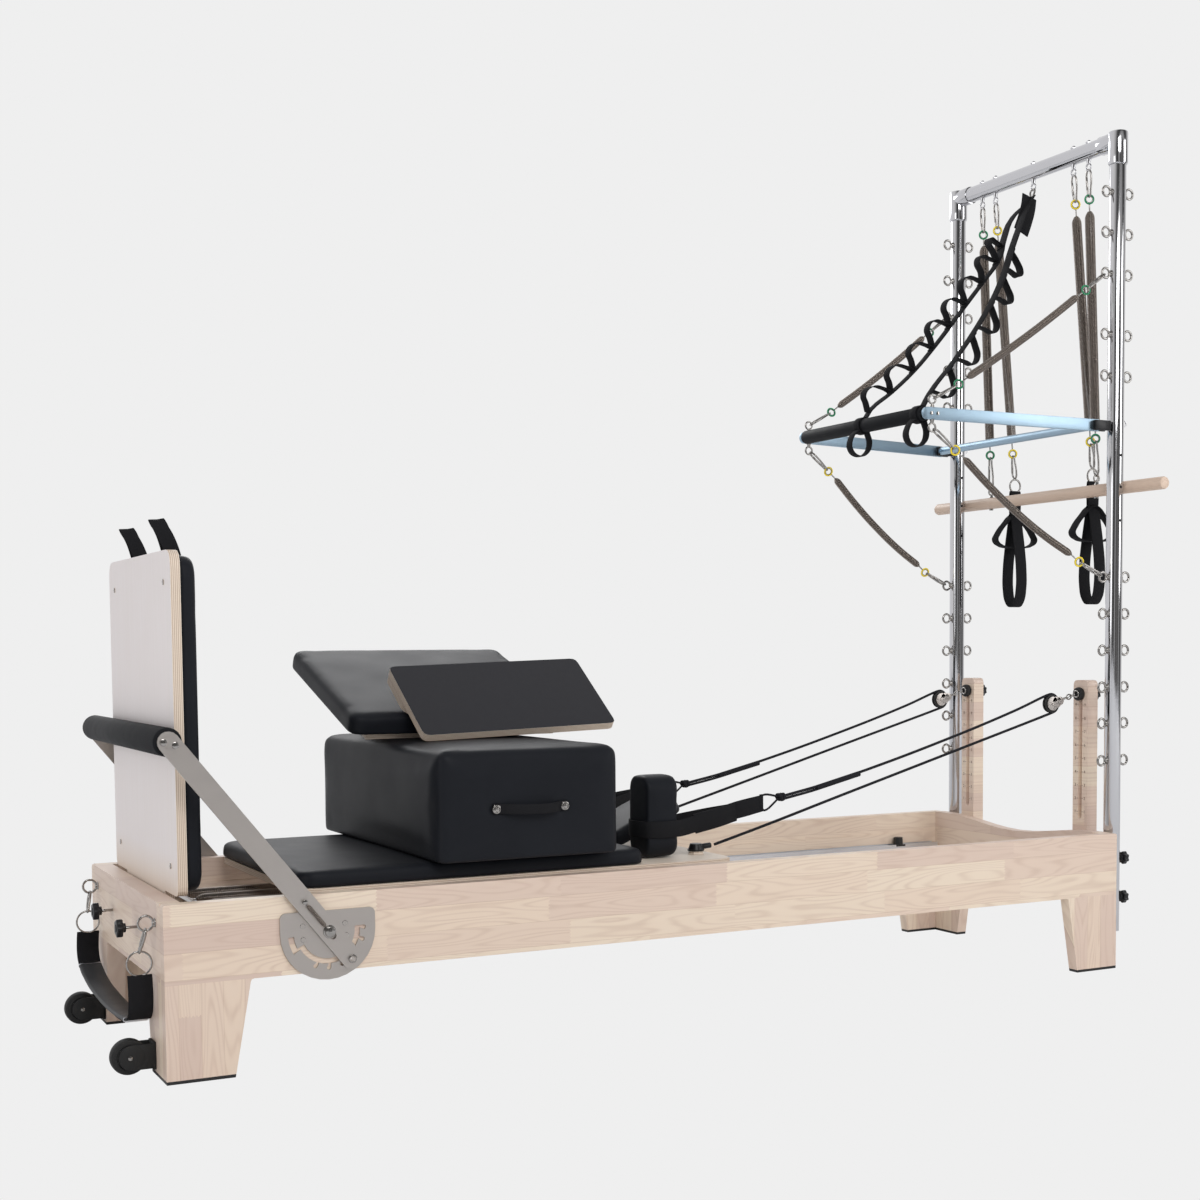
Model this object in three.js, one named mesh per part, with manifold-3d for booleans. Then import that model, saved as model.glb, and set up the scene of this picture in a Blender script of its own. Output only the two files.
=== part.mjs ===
// A pilates tower unit: a wooden reformer bed on rails with a chrome half-trapeze tower.
//
// Millimetres. X runs from the foot end of the bed to its head end, Y from the near side to the
// far side and Z up from the floor, with zero at the foot end, on the middle line of the bed.
// The finished group is moved so that its origin lies under the middle of the whole object.
// Pieces that come in pairs are drawn on the far side, +Y, and mirrored for the near side.

import * as THREE from 'three';
import { mergeVertices } from 'three/addons/utils/BufferGeometryUtils.js';
import Module from 'manifold-3d';

const wasm = await Module();
wasm.setup();

// Driving sizes of the bed
const bedLength = 2400;
const bedWidth = 744;
const bedTop = 347;
const plankDepth = 156;
const plankThickness = 30;
const footRailThickness = 40;

// Driving sizes of the tower
const tubeRadius = 21;
const tubeGap = 8;
const towerHalfWidth = 321.6;
const crossbarHeight = 2100;
const uprightFoot = 88;

// Clearances: a seat between pieces that rest on each other, and a running gap between moving ones
const seatGap = 0.3;
const runningGap = 0.5;
const overrun = 1;

const hookWire = 2.2;

// Places that many pieces share
const plankUnder = bedTop - plankDepth;
const jumpX = 44;
const innerFace = bedWidth / 2 - plankThickness;
const outerFace = bedWidth / 2;
const towerX = bedLength + tubeGap + tubeRadius;

// Finishes
function finish(color, roughness, metalness) {
  return new THREE.MeshStandardMaterial({ color, roughness, metalness });
}
const maple = finish(0xd8b792, 0.45, 0);
const plywood = finish(0xd9b885, 0.5, 0);
const ash = finish(0xb08d78, 0.5, 0);
const chrome = finish(0xc8c8cc, 0.12, 1);
const brushedSteel = finish(0x9a958d, 0.35, 1);
const springSteel = finish(0x8a8580, 0.3, 1);
const paleAluminium = finish(0xa9c3dd, 0.35, 0.7);
const blackVinyl = finish(0x1b1c20, 0.55, 0);
const blackFoam = finish(0x26272b, 0.8, 0);
const blackWebbing = finish(0x121214, 0.85, 0);
const blackPlastic = finish(0x141416, 0.4, 0);

// Directions
const alongX = new THREE.Vector3(1, 0, 0);
const alongY = new THREE.Vector3(0, 1, 0);
const alongZ = new THREE.Vector3(0, 0, 1);

function at(x, y, z) {
  return new THREE.Vector3(x, y, z);
}

// Geometry helpers

// Turns a closed geometry right side out, whichever way it was drawn or mirrored.
function facingOut(geometry) {
  const solid = geometry.index ? geometry.toNonIndexed() : geometry;
  const place = solid.getAttribute('position');
  const a = new THREE.Vector3();
  const b = new THREE.Vector3();
  const c = new THREE.Vector3();
  let volume = 0;
  for (let i = 0; i < place.count; i += 3) {
    a.fromBufferAttribute(place, i);
    b.fromBufferAttribute(place, i + 1);
    c.fromBufferAttribute(place, i + 2);
    volume += a.dot(b.cross(c));
  }
  const bare = new THREE.BufferGeometry();
  const kept = Float32Array.from(place.array);
  if (volume < 0) {
    for (let i = 0; i < kept.length; i += 9) {
      for (let k = 0; k < 3; k += 1) {
        const swapped = kept[i + 3 + k];
        kept[i + 3 + k] = kept[i + 6 + k];
        kept[i + 6 + k] = swapped;
      }
    }
  }
  bare.setAttribute('position', new THREE.BufferAttribute(kept, 3));
  return mergeVertices(bare);
}

function toSolid(geometry) {
  const bare = facingOut(geometry);
  return new wasm.Manifold(new wasm.Mesh({
    numProp: 3,
    vertProperties: bare.getAttribute('position').array,
    triVerts: new Uint32Array(bare.index.array),
  }));
}

// The slivers that a join leaves are cleared away where that moves no surface by more than this.
const joinTolerance = 0.35;

function toGeometry(solid) {
  const mesh = solid.asOriginal().simplify(joinTolerance).getMesh();
  const geometry = new THREE.BufferGeometry();
  geometry.setAttribute('position', new THREE.BufferAttribute(mesh.vertProperties, 3));
  geometry.setIndex(new THREE.BufferAttribute(mesh.triVerts, 1));
  return geometry;
}

function fuse(...pieces) {
  return toGeometry(pieces.flat().map(toSolid).reduce((whole, piece) => whole.add(piece)));
}

function carve(body, ...cutters) {
  return toGeometry(cutters.flat().map(toSolid).reduce((left, cutter) => left.subtract(cutter), toSolid(body)));
}

function moved(geometry, x, y, z) {
  return geometry.clone().translate(x, y, z);
}

function mirrored(geometry) {
  return facingOut(geometry.clone().scale(1, -1, 1));
}

// A box between two limits on each axis.
function box(x, y, z) {
  const geometry = new THREE.BoxGeometry(x[1] - x[0], y[1] - y[0], z[1] - z[0]);
  return geometry.translate((x[0] + x[1]) / 2, (y[0] + y[1]) / 2, (z[0] + z[1]) / 2);
}

// A straight bar or cone between two points, with a flat side towards each axis.
function rod(from, to, radius, faces = 8, endRadius = radius) {
  const along = to.clone().sub(from);
  const geometry = new THREE.CylinderGeometry(endRadius, radius, along.length(), faces);
  geometry.rotateY(Math.PI / faces);
  geometry.applyQuaternion(new THREE.Quaternion().setFromUnitVectors(alongY, along.normalize()));
  const middle = from.clone().add(to).multiplyScalar(0.5);
  return geometry.translate(middle.x, middle.y, middle.z);
}

// A wire ring round a centre.
function ring(centre, normal, radius, wire, steps = 8, faces = 3) {
  const geometry = new THREE.TorusGeometry(radius, wire, faces, steps);
  geometry.applyQuaternion(new THREE.Quaternion().setFromUnitVectors(alongZ, normal.clone().normalize()));
  return geometry.translate(centre.x, centre.y, centre.z);
}

// A round shape turned about an axis from a centre; the profile is pairs of [radius, along].
function turned(centre, axis, profile, faces = 16) {
  const geometry = new THREE.LatheGeometry(profile.map(([r, y]) => new THREE.Vector2(r, y)), faces);
  geometry.applyQuaternion(new THREE.Quaternion().setFromUnitVectors(alongY, axis.clone().normalize()));
  return geometry.translate(centre.x, centre.y, centre.z);
}

// An outline from corners [across, up, rounding].
function outline(corners) {
  const shape = new THREE.Shape();
  corners.forEach(([x, y, rounding = 0], i) => {
    const corner = new THREE.Vector2(x, y);
    const before = corners[(i + corners.length - 1) % corners.length];
    const after = corners[(i + 1) % corners.length];
    const toBefore = new THREE.Vector2(before[0] - x, before[1] - y).normalize().multiplyScalar(rounding);
    const toAfter = new THREE.Vector2(after[0] - x, after[1] - y).normalize().multiplyScalar(rounding);
    const start = corner.clone().add(toBefore);
    const end = corner.clone().add(toAfter);
    if (i === 0) shape.moveTo(start.x, start.y);
    else shape.lineTo(start.x, start.y);
    if (rounding > 0) shape.quadraticCurveTo(x, y, end.x, end.y);
  });
  shape.closePath();
  return shape;
}

// A board cut to an outline. `across` and `up` are the outline's directions, and the board's
// thickness runs along their cross product from `origin`.
function board(shape, thickness, across, up, origin, curveSegments = 4) {
  const geometry = new THREE.ExtrudeGeometry(shape, { depth: thickness, bevelEnabled: false, curveSegments });
  const out = new THREE.Vector3().crossVectors(across, up);
  return geometry.applyMatrix4(new THREE.Matrix4().makeBasis(across, up, out).setPosition(origin));
}
const uprightAlongX = (shape, yLow, yHigh, segments) => (
  board(shape, yHigh - yLow, alongX, alongZ, at(0, yHigh, 0), segments));
const uprightAlongY = (shape, xLow, xHigh, segments) => (
  board(shape, xHigh - xLow, alongY, alongZ, at(xLow, 0, 0), segments));
const lyingFlat = (shape, zLow, zHigh, segments) => (
  board(shape, zHigh - zLow, alongX, alongY, at(0, 0, zLow), segments));

// A closed skin over rings of points that all have the same count.
function skin(rings, closed = false) {
  const count = rings[0].length;
  const places = rings.flat();
  const faces = [];
  const spans = closed ? rings.length : rings.length - 1;
  for (let i = 0; i < spans; i += 1) {
    const here = i * count;
    const next = ((i + 1) % rings.length) * count;
    for (let k = 0; k < count; k += 1) {
      const k1 = (k + 1) % count;
      faces.push(here + k, here + k1, next + k1, here + k, next + k1, next + k);
    }
  }
  const cap = (first, turn) => {
    const middle = new THREE.Vector3();
    for (let k = 0; k < count; k += 1) middle.add(places[first + k]);
    places.push(middle.multiplyScalar(1 / count));
    for (let k = 0; k < count; k += 1) {
      const k1 = (k + 1) % count;
      if (turn) faces.push(places.length - 1, first + k, first + k1);
      else faces.push(places.length - 1, first + k1, first + k);
    }
  };
  if (!closed) {
    cap(0, false);
    cap((rings.length - 1) * count, true);
  }
  const geometry = new THREE.BufferGeometry();
  const flat = places.flatMap((place) => place.toArray());
  geometry.setAttribute('position', new THREE.Float32BufferAttribute(flat, 3));
  geometry.setIndex(faces);
  return geometry;
}

// A strap along a route: each stop is [place, width direction, width].
function strap(stops, thickness, closed = false) {
  const rings = stops.map(([place, widthDirection, width], i) => {
    const before = stops[closed ? (i + stops.length - 1) % stops.length : Math.max(i - 1, 0)][0];
    const after = stops[closed ? (i + 1) % stops.length : Math.min(i + 1, stops.length - 1)][0];
    const along = after.clone().sub(before).normalize();
    const side = widthDirection.clone().addScaledVector(along, -along.dot(widthDirection)).normalize();
    const out = new THREE.Vector3().crossVectors(along, side).multiplyScalar(thickness / 2);
    side.multiplyScalar(width / 2);
    return [
      place.clone().sub(side).sub(out),
      place.clone().add(side).sub(out),
      place.clone().add(side).add(out),
      place.clone().sub(side).add(out),
    ];
  });
  return skin(rings, closed);
}

// A closed wire link with blunt ends, such as a snap hook, from one end wire to the other. It is
// widest a quarter of the way along and narrows by `taper` towards the far end.
const linkEndHalf = 5;
const linkWideShare = 0.26;
const linkNarrowShare = 0.8;

function link(from, to, across, width, wire, taper, endHalf = linkEndHalf) {
  const along = to.clone().sub(from);
  const side = across.clone().addScaledVector(along, -along.dot(across) / along.lengthSq()).normalize();
  const normal = new THREE.Vector3().crossVectors(along, side).normalize();
  const half = [
    [0, endHalf],
    [linkWideShare, width / 2],
    [linkNarrowShare, (width / 2) * (1 - taper)],
    [1, endHalf],
  ];
  const route = [...half, ...half.map(([share, reach]) => [share, -reach]).reverse()]
    .map(([share, reach]) => from.clone().addScaledVector(along, share).addScaledVector(side, reach));
  const rings = route.map((centre, i) => {
    const before = route[(i + route.length - 1) % route.length];
    const after = route[(i + 1) % route.length];
    const tangent = after.clone().sub(before).normalize();
    const out = new THREE.Vector3().crossVectors(tangent, normal);
    return [0, 1, 2].map((k) => centre.clone()
      .addScaledVector(out, wire * Math.cos((k * 2 * Math.PI) / 3))
      .addScaledVector(normal, wire * Math.sin((k * 2 * Math.PI) / 3)));
  });
  return skin(rings, true);
}

// How far from the centre of an eye the middle of a hook's wire lies when the hook pulls on it. The
// hook's corners turn this share of its wire towards the eye.
const hookRestShare = 0.62;

function holdIn(radius, wire, steps = 8) {
  return (radius - wire) * Math.cos(Math.PI / steps) - hookWire * hookRestShare - seatGap;
}

// An eye in one skin: a ring of three-sided wire whose side nearest the seat opens into a square
// shank that widens down to the seat. It serves for eye bolts and for the ringed ends of springs.
function eyeBolt(seat, centre, normal, radius, wire, shankRadius, steps = 8) {
  const down = seat.clone().sub(centre).normalize();
  const face = normal.clone().normalize();
  const across = new THREE.Vector3().crossVectors(face, down);
  const places = [];
  for (let i = 0; i < steps; i += 1) {
    const angle = ((i - 0.5) / steps) * 2 * Math.PI;
    const out = down.clone().multiplyScalar(Math.cos(angle)).addScaledVector(across, Math.sin(angle));
    const middle = centre.clone().addScaledVector(out, radius);
    places.push(middle.clone().addScaledVector(out, wire * 0.7).addScaledVector(face, wire));
    places.push(middle.clone().addScaledVector(out, wire * 0.7).addScaledVector(face, -wire));
    places.push(middle.clone().addScaledVector(out, -wire));
  }
  const base = places.length;
  for (const [sideways, upward] of [[-1, 1], [-1, -1], [1, -1], [1, 1]]) {
    places.push(seat.clone().addScaledVector(across, sideways * shankRadius).addScaledVector(face, upward * shankRadius));
  }
  const faces = [];
  const quad = (a, b, c, d) => faces.push(a, b, c, a, c, d);
  for (let i = 0; i < steps; i += 1) {
    const here = 3 * i;
    const next = 3 * ((i + 1) % steps);
    for (let k = 0; k < 3; k += 1) {
      const k1 = (k + 1) % 3;
      if (i > 0 || k > 0) quad(here + k, here + k1, next + k1, next + k);
    }
  }
  const mouth = [0, 1, 4, 3];
  for (let k = 0; k < 4; k += 1) {
    const k1 = (k + 1) % 4;
    quad(mouth[k], mouth[k1], base + k1, base + k);
  }
  quad(base, base + 1, base + 2, base + 3);
  const geometry = new THREE.BufferGeometry();
  geometry.setAttribute('position', new THREE.Float32BufferAttribute(places.flatMap((place) => place.toArray()), 3));
  geometry.setIndex(faces);
  return [geometry];
}

// A lobed outline for a hand knob.
function lobedOutline(radius, lobes, depthShare) {
  const shape = new THREE.Shape();
  const steps = lobes * 3;
  for (let i = 0; i < steps; i += 1) {
    const angle = (i / steps) * 2 * Math.PI;
    const reach = radius * (1 - depthShare * (0.5 - 0.5 * Math.cos(lobes * angle)));
    if (i === 0) shape.moveTo(reach * Math.cos(angle), reach * Math.sin(angle));
    else shape.lineTo(reach * Math.cos(angle), reach * Math.sin(angle));
  }
  shape.closePath();
  return shape;
}

// A round-cornered ring of points for a pad, with sides that pull in between the corners.
function padRing(halfLength, halfWidth, corner, drawn, height) {
  const points = [];
  const turns = [[1, 1], [-1, 1], [-1, -1], [1, -1]];
  const cornerSteps = 3;
  const sideSteps = 2;
  turns.forEach(([sx, sy], quarter) => {
    const centreX = sx * (halfLength - corner);
    const centreY = sy * (halfWidth - corner);
    for (let i = 0; i <= cornerSteps; i += 1) {
      const angle = ((quarter + i / cornerSteps) * Math.PI) / 2;
      points.push(at(centreX + corner * Math.cos(angle), centreY + corner * Math.sin(angle), height));
    }
    const alongSide = quarter % 2 === 0;
    const run = alongSide ? 2 * (halfLength - corner) : 2 * (halfWidth - corner);
    for (let i = 1; i < sideSteps; i += 1) {
      const share = i / sideSteps;
      const pull = drawn * Math.sin(Math.PI * share);
      if (alongSide) points.push(at(sx * (halfLength - corner - run * share), sy * (halfWidth - pull), height));
      else points.push(at(sx * (halfLength - pull), sy * (halfWidth - corner - run * share), height));
    }
  });
  return points;
}

// An upholstered pad that stands on z = 0, with rounded edges, a crown and drawn-in sides. Its flat
// middle lies at its height and this share of its crown.
const crownTopShare = 0.8;

function pad({ length, width, height, corner, edge, crown, drawn, underEdge = edge }) {
  const layers = [
    [underEdge, 0, 0],
    [underEdge * 0.3, underEdge * 0.3, 0.5],
    [0, underEdge, 1],
    [0, height - edge, 1],
    [edge * 0.3, height - edge * 0.3, 0.6],
    [edge, height, 0.3],
  ];
  const rings = layers.map(([inset, rise, drawnShare]) => padRing(
    length / 2 - inset, width / 2 - inset, Math.max(corner - inset, corner / 3), drawn * drawnShare, rise));
  const crownShares = [[0.55, crownTopShare]];
  for (const [reachShare, riseShare] of crownShares) {
    rings.push(padRing((length / 2 - edge) * reachShare, (width / 2 - edge) * reachShare,
      corner * reachShare, 0, height + crown * riseShare));
  }
  return skin(rings);
}

// Close-wound springs

// Each spring is one unbroken flat-ground tube: its lower edge runs level for the first turn and
// its upper edge for the last, and between them the edges climb together with a hairline gap.
const coilGap = 1;
const coilStart = 1.5;
const coilSteps = 8;
const coilPhase = 0.3;
let leastCoilGap = Infinity;
let curlCount = 0;

function coil(path, radius, wall, curls) {
  const length = path.getLength();
  const climb = (length - 2 * coilStart - coilGap) / (curls - 1);
  const edgeAt = (turns) => Math.min(coilStart + climb * turns, length);
  const place = (distance, angle, reach) => {
    const share = Math.min(Math.max(distance / length, 0), 1);
    const centre = path.getPointAt(share);
    const along = path.getTangentAt(share);
    const first = alongY.clone().addScaledVector(along, -along.y).normalize();
    const second = new THREE.Vector3().crossVectors(along, first);
    return centre.addScaledVector(first, reach * Math.cos(angle)).addScaledVector(second, reach * Math.sin(angle));
  };
  const rings = [];
  for (let i = 0; i <= curls * coilSteps; i += 1) {
    const turns = i / coilSteps;
    const angle = coilPhase + turns * 2 * Math.PI;
    const high = edgeAt(turns);
    const low = turns <= 1 ? 0 : edgeAt(turns - 1) + coilGap;
    const middle = (low + high) / 2;
    rings.push([
      place(low, angle, radius - wall),
      place(high, angle, radius - wall),
      place(high, angle, radius - wall / 4),
      place(middle, angle, radius),
      place(low, angle, radius - wall / 4),
    ]);
  }
  for (let i = coilSteps; i < rings.length; i += 1) {
    for (const place1 of [rings[i][0], rings[i][4]]) {
      for (const place2 of [rings[i - coilSteps][1], rings[i - coilSteps][2]]) {
        const apart = place1.distanceTo(place2);
        leastCoilGap = Math.min(leastCoilGap, apart);
      }
    }
  }
  curlCount += curls;
  return skin(rings);
}

// How wide the square shank of a ringed end is where it seats in the end of a coil: its corners
// lie within the wall of the coil.
const shoulderShare = 0.62;
const shoulderBite = 0.8;

// Sizes of a tower spring and its fittings
const springWall = 3;
const springWire = 2;
const springNeck = 21;
const springRing = 12.5;
const springRingWire = 2;
const ringTwist = 0.87;
const hookWidth = 19;
const hookTaper = 0.25;

// A tower spring between two eyes. Each end says where its eye is, how far the hook's wire lies
// from the eye's centre, where the coloured ring is, and which way the hook's plane runs.
function towerSpring({ radius, curls, ends, sag }) {
  const toward = ends.map(({ ringCentre }, i) => ends[1 - i].ringCentre.clone().sub(ringCentre).normalize());
  const coilEnds = ends.map(({ ringCentre }, i) => (
    ringCentre.clone().addScaledVector(toward[i], springRing + springNeck)));
  const middle = coilEnds[0].clone().add(coilEnds[1]).multiplyScalar(0.5).addScaledVector(alongZ, -2 * sag);
  const path = new THREE.QuadraticBezierCurve3(coilEnds[0], middle, coilEnds[1]);
  const pieces = [coil(path, radius, springWall, curls)];
  ends.forEach(({ eye, hold, ringCentre, hookAcross }, i) => {
    const fromEye = ringCentre.clone().sub(eye).normalize();
    const hookStart = eye.clone().addScaledVector(fromEye, hold);
    const hookEnd = ringCentre.clone().addScaledVector(fromEye, -(springRing - springRingWire - hookWire / 2));
    pieces.push(link(hookStart, hookEnd, hookAcross, hookWidth, hookWire, hookTaper));
    const side = hookAcross.clone().addScaledVector(toward[i], -toward[i].dot(hookAcross)).normalize();
    const ringNormal = new THREE.Vector3().crossVectors(toward[i], side).applyAxisAngle(toward[i], ringTwist);
    const inward = i === 0 ? path.getTangentAt(0) : path.getTangentAt(1).negate();
    const seat = coilEnds[i].clone().addScaledVector(inward, shoulderBite);
    pieces.push(...eyeBolt(seat, ringCentre, ringNormal, springRing, springRingWire, radius * shoulderShare));
  });
  return fuse(pieces);
}

// Collecting the named pieces

const unit = new THREE.Group();

function add(name, geometry, material, parent = unit) {
  const mesh = new THREE.Mesh(facingOut(geometry), material);
  mesh.name = name;
  parent.add(mesh);
  return mesh;
}

function addPair(name, geometry, material) {
  add(`${name}_near`, mirrored(geometry), material);
  add(`${name}_far`, geometry, material);
}

// Side frames: one plank and two tapered legs each, with an aluminium track and rubber stops

const footLegOnFloor = 132;
const footLegAtPlank = 166.5;
const headLegOnFloor = 128;
const headLegAtPlank = 159.5;
const edgeRound = 6;
const trackInset = 45;
const trackTop = 256;
const trackSheet = 5;
const trackReach = 30;
const trackLip = 6;
const trackLipSheet = 3;
const trackBack = 35;
const stopRadius = 15;
const stopTopRadius = 13;
const stopHeight = 26;
const headStopInset = 176;
const headStopX = bedLength - headStopInset;
const footStopX = 433;
const stopInset = 17;

function sideFrame() {
  const plank = uprightAlongX(outline([
    [0, 0],
    [footLegOnFloor, 0],
    [footLegAtPlank, plankUnder, edgeRound],
    [bedLength - headLegAtPlank, plankUnder, edgeRound],
    [bedLength - headLegOnFloor, 0],
    [bedLength, 0],
    [bedLength, bedTop, edgeRound],
    [0, bedTop, edgeRound],
  ]), innerFace, outerFace, 2);
  const trackEdge = innerFace - trackReach;
  const track = uprightAlongY(outline([
    [innerFace + overrun, trackTop - trackSheet],
    [innerFace + overrun, trackTop + trackBack],
    [innerFace - trackLipSheet, trackTop + trackBack],
    [innerFace - trackLipSheet, trackTop],
    [trackEdge + trackLipSheet, trackTop],
    [trackEdge + trackLipSheet, trackTop + trackLip],
    [trackEdge, trackTop + trackLip],
    [trackEdge, trackTop - trackSheet],
  ]), trackInset, bedLength - trackInset);
  const stops = [footStopX, headStopX].map((x) => {
    const foot = at(x, innerFace - stopInset, trackTop - overrun);
    const top = foot.clone().addScaledVector(alongZ, stopHeight + overrun);
    return rod(foot, top, stopRadius, 8, stopTopRadius);
  });
  return fuse(plank, track, stops);
}
addPair('side_frame', sideFrame(), maple);

// End rails between the side frames: a plank and two tapered legs each

const endLegOnFloor = 240;
const endLegAtPlank = 206;
const headRailThickness = 30;
const headDip = 24;
const headDipReach = 300;
const headDipSteps = 12;
const ledgeTop = 275;
const ledgeEnd = 112;
const ledgeHalfWidth = 200;
const barBlockEnd = 155;
const barBlockInner = 215;
const barBlockOuter = 245;
const barBlockUnder = 240;
const barBlockTop = 285;
const endEyeX = -18;
const endEyeY = 300;
const endEyeZ = 305;
const endEyeRadius = 14.5;
const endEyeWire = 2;
const endEyeShank = 3.2;
const endEyePlate = 8;
const endEyePlateSheet = 2;

function endRailCorners(topCorners) {
  const half = innerFace - seatGap;
  return [
    [-half, 0],
    [-endLegOnFloor, 0],
    [-endLegAtPlank, plankUnder, edgeRound],
    [endLegAtPlank, plankUnder, edgeRound],
    [endLegOnFloor, 0],
    [half, 0],
    ...topCorners.map(([y, z]) => [y, z]),
  ];
}

function footEndRail() {
  const half = innerFace - seatGap;
  const rail = uprightAlongY(outline(endRailCorners([[half, bedTop], [-half, bedTop]])), 0, footRailThickness, 2);
  const ledge = box([footRailThickness - overrun, ledgeEnd], [-ledgeHalfWidth, ledgeHalfWidth], [plankUnder, ledgeTop]);
  const pieces = [rail, ledge];
  for (const side of [-1, 1]) {
    const inner = side * barBlockInner;
    const outer = side * barBlockOuter;
    const across = [Math.min(inner, outer), Math.max(inner, outer)];
    pieces.push(box([footRailThickness - overrun, barBlockEnd], across, [barBlockUnder, barBlockTop]));
    const centre = at(endEyeX, side * endEyeY, endEyeZ);
    const seat = at(overrun, side * endEyeY, endEyeZ);
    pieces.push(...eyeBolt(seat, centre, alongY, endEyeRadius, endEyeWire, endEyeShank));
    pieces.push(rod(seat, at(-endEyePlateSheet, side * endEyeY, endEyeZ), endEyePlate, 10));
  }
  return fuse(pieces);
}

function headEndRail() {
  const half = innerFace - seatGap;
  const top = [[half, bedTop]];
  for (let i = 0; i <= headDipSteps; i += 1) {
    const share = 1 - (2 * i) / headDipSteps;
    const drop = headDip * (0.5 + 0.5 * Math.cos(Math.PI * share));
    top.push([headDipReach * share, bedTop - drop]);
  }
  top.push([-half, bedTop]);
  return uprightAlongY(outline(endRailCorners(top)), bedLength - headRailThickness, bedLength, 2);
}
add('foot_end_rail', footEndRail(), maple);
add('head_end_rail', headEndRail(), maple);

// Risers that carry the rope pulleys, bolted outside the head-end rail

const riserThickness = 34;
const riserHalfWidth = 27;
const riserInset = 88.6;
const riserY = towerHalfWidth - riserInset;
const riserUnder = 200;
const riserTop = 737;
const riserRound = 14;
const riserSlotHalf = 7;
const riserSlotUnder = 373;
const riserSlotTop = 712;
const riserBoltRadius = 7;
const riserBoltHead = 3;
const riserBoltHeights = [230, 305];
const riserFront = bedLength + seatGap;
const riserBack = riserFront + riserThickness;

function riser() {
  const left = riserY - riserHalfWidth;
  const right = riserY + riserHalfWidth;
  const shape = outline([
    [left, riserUnder, edgeRound],
    [right, riserUnder, edgeRound],
    [right, riserTop, riserRound],
    [left, riserTop, riserRound],
  ]);
  const slot = new THREE.Path();
  slot.absarc(riserY, riserSlotTop - riserSlotHalf, riserSlotHalf, 0, Math.PI);
  slot.absarc(riserY, riserSlotUnder + riserSlotHalf, riserSlotHalf, Math.PI, 2 * Math.PI);
  slot.closePath();
  shape.holes.push(slot);
  const bolts = riserBoltHeights.map((z) => rod(
    at(riserBack - overrun, riserY, z), at(riserBack + riserBoltHead, riserY, z), riserBoltRadius, 6));
  return fuse(uprightAlongY(shape, riserFront, riserBack, 3), bolts);
}
addPair('riser', riser(), maple);

// Tower uprights with eye bolts, star knobs and the lugs of the push-through bar

const eyeReach = 37.6;
const eyeRadius = 12.5;
const eyeWire = 2;
const eyeShank = 4.5;
const eyeSteps = 6;
const eyeShares = [0.9381, 0.89, 0.8414, 0.769, 0.7195, 0.4771, 0.4324, 0.3879, 0.3429, 0.2986, 0.2529];
const eyeHeights = eyeShares.map((share) => share * crossbarHeight);
const sleeveDepth = 42;
const uprightTop = crossbarHeight - 22;
const knobRadius = 17;
const knobLobes = 7;
const knobDepthShare = 0.22;
const knobThickness = 14;
const knobNeck = 8;
const knobScrew = 3.5;
const towerKnobGap = 12;
const towerKnobHeights = [275.6, 173.8];
const saddleHalfWidth = 12;
const saddleHalfHeight = 11;
const hingeSetback = 38;
const hingeX = towerX - hingeSetback;
const hingeZ = 1384;
const lugReach = 10;
const lugFront = hingeX - lugReach;
const lugHalfThickness = 5.5;
const lugHalfHeight = 11;
const hingePin = 3.5;
const hingeBore = 4;
const lockPinZ = 1392;
const lockPinRing = 9;
const lockPinWire = 1.6;
const lockPinReach = 26;
const tubeFaces = 12;

function starKnob(seat, out, stem, across, up) {
  const under = seat.clone().addScaledVector(out, stem);
  const knob = board(lobedOutline(knobRadius, knobLobes, knobDepthShare), knobThickness, across, up, under);
  const boss = rod(seat.clone().addScaledVector(out, stem - knobNeck), under.clone().addScaledVector(out, overrun),
    knobRadius / 2, 8);
  const screw = rod(seat, under, knobScrew, 6);
  return [knob, boss, screw];
}

function towerUpright() {
  const y = towerHalfWidth;
  const pieces = [rod(at(towerX, y, uprightFoot), at(towerX, y, uprightTop), tubeRadius, tubeFaces)];
  for (const z of eyeHeights) {
    for (const side of [-1, 1]) {
      const seat = at(towerX + side * (tubeRadius - 2 * overrun), y, z);
      pieces.push(...eyeBolt(seat, at(towerX + side * eyeReach, y, z), alongY, eyeRadius, eyeWire, eyeShank, eyeSteps));
    }
  }
  for (const z of towerKnobHeights) {
    const seat = at(towerX + tubeRadius - 2 * overrun, y, z);
    pieces.push(...starKnob(seat, alongX, towerKnobGap, alongY, alongZ));
    pieces.push(box([riserFront, towerX], [y - saddleHalfWidth, y + saddleHalfWidth],
      [z - saddleHalfHeight, z + saddleHalfHeight]));
  }
  pieces.push(box([lugFront, towerX], [y - lugHalfThickness, y + lugHalfThickness],
    [hingeZ - lugHalfHeight, hingeZ + lugHalfHeight]));
  const pinEnd = at(towerX + lockPinReach, y, lockPinZ);
  pieces.push(rod(at(towerX, y, lockPinZ), pinEnd, hingePin, 4));
  pieces.push(ring(at(towerX + lockPinReach + lockPinRing, y, lockPinZ), alongY, lockPinRing, lockPinWire, 6));
  const bore = rod(at(hingeX, y - tubeRadius, hingeZ), at(hingeX, y + tubeRadius, hingeZ), hingeBore, 8);
  return carve(fuse(pieces), bore);
}
addPair('tower_upright', towerUpright(), chrome);

// Tower crossbar: a tube with an elbow at each end that is bored for the upright

const elbowRadius = 25;
const elbowArm = 62;
const crossbarEyes = [-214, -157.5, 0, 157.5, 214];
const crossbarEyeDrop = 40;
const crossbarEyeRadius = 8;
const crossbarEyeShank = 4;
const domeNutRadius = 8;
const domeNutHeight = 9;

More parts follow.
